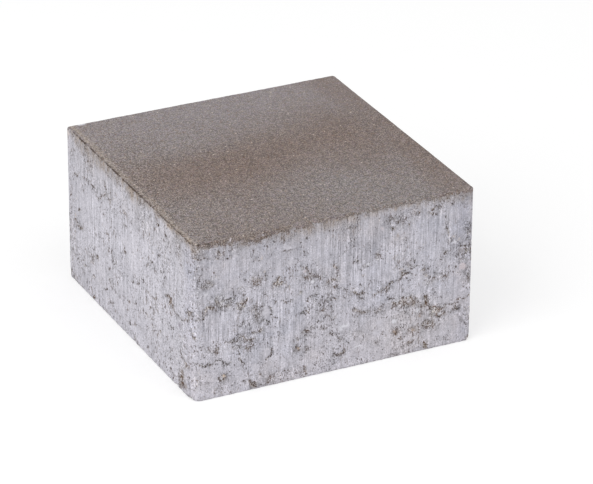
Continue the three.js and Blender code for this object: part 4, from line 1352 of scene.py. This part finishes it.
    def sand(self):
        """The sandy crust of the top: its broad tones and the tone of each grain."""
        self.sand_gap, pick, self.sand_tint = self.cells(0.45, seed=9, stretch=(1, 1.1, 1))
        coarse = self.share("coarse")
        cool = self.blend(self.between(self.share("far"), 0.55, 0.95), paint("cool sand"), paint("far sand"))
        sand = self.blend(self.share("warm"), cool, paint("warm sand"))
        # the painted highlight along the top's left edge
        sand = self.blend(self.product(self.share("rim"), 0.8), sand, paint("rim highlight sand"))
        sand = self.blend(self.capped(self.share("edge"), 0.12), sand, paint("edge sand"))
        pores = self.between(self.speckle(0.7, seed=19), 0.58, 0.68)
        sand = self.shade(sand, self.product(
            self.line(self.between(pick, 0, 1, -0.55, 0.5), coarse, 1.0),
            self.swing(self.lump, self.product(coarse, 0.3)),
            self.swing(self.speckle(6, seed=11), 0.06),
            self.between(self.sand_gap, 0.2, 0.75, 1.06, 0.84),
            self.line(self.product(pores, coarse), -0.36, 1.0),
        ))
        hue = self.speckle(2.6, seed=35)
        sand = self.blend(self.between(hue, 0.5, 0.66), sand, WARMER_SAND, "MULTIPLY")
        return self.blend(self.between(hue, 0.5, 0.34), sand, COOLER_SAND, "MULTIPLY")

    def motley(self, sand):
        """Blotches on the sand, and the odd pale, rusty or larger grain."""
        motley = self.share("motley")
        blotch = self.speckle(1.1, stretch=(1, 1.1, 1), seed=33)
        dark, pale = self.between(blotch, 0.52, 0.66), self.between(blotch, 0.42, 0.32)
        sand = self.blend(self.product(dark, motley, 0.5), sand, paint("dark blotch"))
        sand = self.blend(self.product(pale, motley, 0.35), sand, paint("pale blotch"))
        rare = self.line(motley, -0.04, 0.95)
        light = self.between(self.sand_tint, rare, self.plus(rare, 0.015))
        light = self.product(light, self.between(self.sand_gap, 0.35, 0.55, 1.0, 0.0), 0.75)
        sand = self.blend(light, sand, paint("light grain"))
        crumb_gap, _, crumb_tint = self.cells(1.15, seed=34)
        crumb = self.between(self.line(motley, 0.008, crumb_tint), 0.993, 0.994)
        crumb = self.product(crumb, self.between(crumb_gap, 0.42, 0.3), 0.8)
        sand = self.blend(crumb, sand, paint("crumb"))
        rust = self.between(self.sand_tint, 0.05, 0.035)
        return self.blend(self.product(rust, 0.5), sand, paint("rust grain"))

    def clodded(self, sand):
        """Dark and pale clods where the crust ends and along the top's edge."""
        edge = self.share("edge")
        clod = self.speckle(0.7, seed=26)
        brim = self.between(self.maths("ABSOLUTE", self.centred(self.share("crust"))), 0.3, 1.1, 1.0, 0.0)
        brim = self.product(brim, self.between(self.cloud, 0.35, 0.6, 0.3, 1.0))
        rich = self.most(edge, brim)
        dark = self.capped(self.between(self.line(rich, 0.1, clod), 0.58, 0.65), rich)
        sand = self.blend(self.product(dark, self.line(brim, 0.25, 0.5)), sand, paint("dark clod"))
        pale = self.capped(self.between(self.line(edge, -0.06, clod), 0.37, 0.32), edge)
        return self.blend(self.product(pale, 0.6), sand, paint("pale clod"))

    def joined(self, skin, sand):
        """Skin and sand in one, with the chips, the stones and the painted shadow under the lip.

        The crust ends in ragged lobes a little way down the sides, and breaks up into speckles below them.
        """
        ragged = self.plus(
            self.between(self.lump, 0.2, 0.8, -0.8, 0.8),
            self.between(self.small_marks, 0.25, 0.75, -0.8, 0.8),
        )
        ragged = self.plus(ragged, self.between(self.mottle, 0.3, 0.7, -0.9, 0.9))
        self.crusted = self.between(self.plus(self.share("crust"), ragged), -0.25, 0.25)
        colour = self.blend(self.crusted, skin, sand)
        fresh = self.blend(self.capped(self.share("brown"), 1.3), paint("fresh chip"), paint("old chip"))
        colour = self.blend(self.product(self.share("chip"), 0.7), colour, self.shade(fresh, self.tone))
        # the stones, and the painted highlights on the rims of three pits on the left face
        inlay = self.once("ShaderNodeAttribute", "Color", attribute_name="inlay")
        colour = self.blend(self.share("stone"), colour, self.shade(inlay, self.swing(self.grit, 0.15)))
        # the painted shadow under the lip, broken into beads along its length
        beads = self.centred(self.speckle(1.6, detail=3, rough=0.7, seed=24))
        broken = self.line(beads, 2.8, self.share("lip_groove_and_shade"))
        return self.blend(self.product(self.between(broken, 0.35, 0.95), 0.85), colour, paint("lip_groove_and_shade"))

    def bump(self):
        """The relief too fine for the net: sand on the top, and drag lines and pores on the sides."""
        sand = self.plus(
            self.product(self.centred(self.lump), 0.6),
            self.between(self.sand_gap, 0, 0.8, 0.1, -0.1),
        )
        skin = self.plus(
            self.product(self.centred(self.drag_fine), self.pull, 0.3),
            self.product(self.centred(self.mottle), 0.4),
        )
        dents = self.plus(self.most(self.pore, self.speck), self.hollow)
        skin = self.plus(skin, self.product(dents, -0.2))
        height = self.node("ShaderNodeMix", {0: self.crusted, 2: skin, 3: sand}, data_type="FLOAT").outputs[0]
        made = self.node("ShaderNodeBump", {"Strength": BUMP_STRENGTH, "Distance": MM, "Height": height})
        return made.outputs["Normal"]


def concrete():
    material = bpy.data.materials.new("pressed_concrete")
    made = Concrete(material)
    skin = made.glinting(made.marked(made.stained(made.bare_skin())))
    sand = made.clodded(made.motley(made.sand()))
    shader = made.node("ShaderNodeBsdfPrincipled", {
        "Base Color": made.joined(skin, sand),
        "Roughness": made.between(made.grit, 0.2, 0.8, 0.82, 0.97),
        "Specular IOR Level": SHEEN,
        "Normal": made.bump(),
    })
    made.end("ShaderNodeOutputMaterial", shader.outputs[0])
    return material


def studio_floor():
    """A pale round floor, which looks brighter than the light it gives back, and runs into the backdrop."""
    material = bpy.data.materials.new("studio_floor")
    made = Finish(material)
    lit = made.node("ShaderNodeBsdfDiffuse", {"Color": FLOOR_LIT}).outputs[0]
    plain = made.node("ShaderNodeBsdfDiffuse", {"Color": FLOOR_PLAIN}).outputs[0]
    glow = made.node("ShaderNodeEmission", {"Strength": FLOOR_GLOW}).outputs[0]
    seen = made.node("ShaderNodeAddShader", {0: lit, 1: glow}).outputs[0]
    mix = made.node("ShaderNodeMixShader", {0: made.seen_directly(), 1: plain, 2: seen})
    made.end("ShaderNodeOutputMaterial", mix.outputs[0])

    bm = bmesh.new()
    bmesh.ops.create_circle(bm, cap_ends=True, segments=64, radius=FLOOR_RADIUS)
    mesh = bpy.data.meshes.new("studio_floor")
    bm.to_mesh(mesh)
    bm.free()
    floor = bpy.data.objects.new("studio_floor", mesh)
    bpy.context.scene.collection.objects.link(floor)
    mesh.materials.append(material)
    return floor


def studio_world():
    """Soft light from all round, and a white backdrop."""
    world = bpy.data.worlds.new("studio")
    bpy.context.scene.world = world
    made = Finish(world)
    soft = made.node("ShaderNodeBackground", {"Strength": WORLD_LIGHT}).outputs[0]
    white = made.node("ShaderNodeBackground", {"Color": WHITE, "Strength": 1}).outputs[0]
    mix = made.node("ShaderNodeMixShader", {0: made.seen_directly(), 1: soft, 2: white})
    made.end("ShaderNodeOutputWorld", mix.outputs[0])


def direction(azimuth, elevation):
    """Which way a place round the stone lies. Azimuth 0 is in front, and positive is to the right."""
    turn, tilt = math.radians(azimuth), math.radians(elevation)
    return Vector((math.sin(turn) * math.cos(tilt), -math.cos(turn) * math.cos(tilt), math.sin(tilt)))


def softbox(name, azimuth, elevation, distance, size, power):
    """A large square lamp that looks at the stone."""
    out = direction(azimuth, elevation)
    lamp = bpy.data.lights.new(name, "AREA")
    lamp.size = size
    lamp.energy = power
    piece = bpy.data.objects.new(name, lamp)
    piece.location = MIDDLE + out * distance
    piece.rotation_euler = out.to_track_quat("Z", "Y").to_euler()
    bpy.context.scene.collection.objects.link(piece)


def studio_camera():
    """The camera in front and to the left, well above the stone, a good way off with a long lens."""
    back = direction(CAMERA_AZIMUTH, CAMERA_ELEVATION)
    roll = math.radians(CAMERA_ROLL)
    level = Vector((0, 0, 1)).cross(back).normalized()
    upright = back.cross(level)
    right = math.cos(roll) * level + math.sin(roll) * upright
    up = math.cos(roll) * upright - math.sin(roll) * level
    eye = MIDDLE + back * CAMERA_DISTANCE + right * CAMERA_ASIDE - up * CAMERA_BELOW
    camera = bpy.data.cameras.new("camera")
    camera.lens = LENS
    camera.sensor_width = SENSOR
    camera.sensor_fit = "HORIZONTAL"
    piece = bpy.data.objects.new("camera", camera)
    piece.matrix_world = Matrix.Translation(eye) @ Matrix((right, up, back)).transposed().to_4x4()
    bpy.context.scene.collection.objects.link(piece)
    bpy.context.scene.camera = piece


stone = build_stone()
stone.data.materials.append(concrete())
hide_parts("paving_stone")
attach(stone, "root")

studio_floor()
studio_world()
for lamp in LAMPS:
    softbox(*lamp)
studio_camera()
bpy.context.scene.view_settings.view_transform = "Standard"
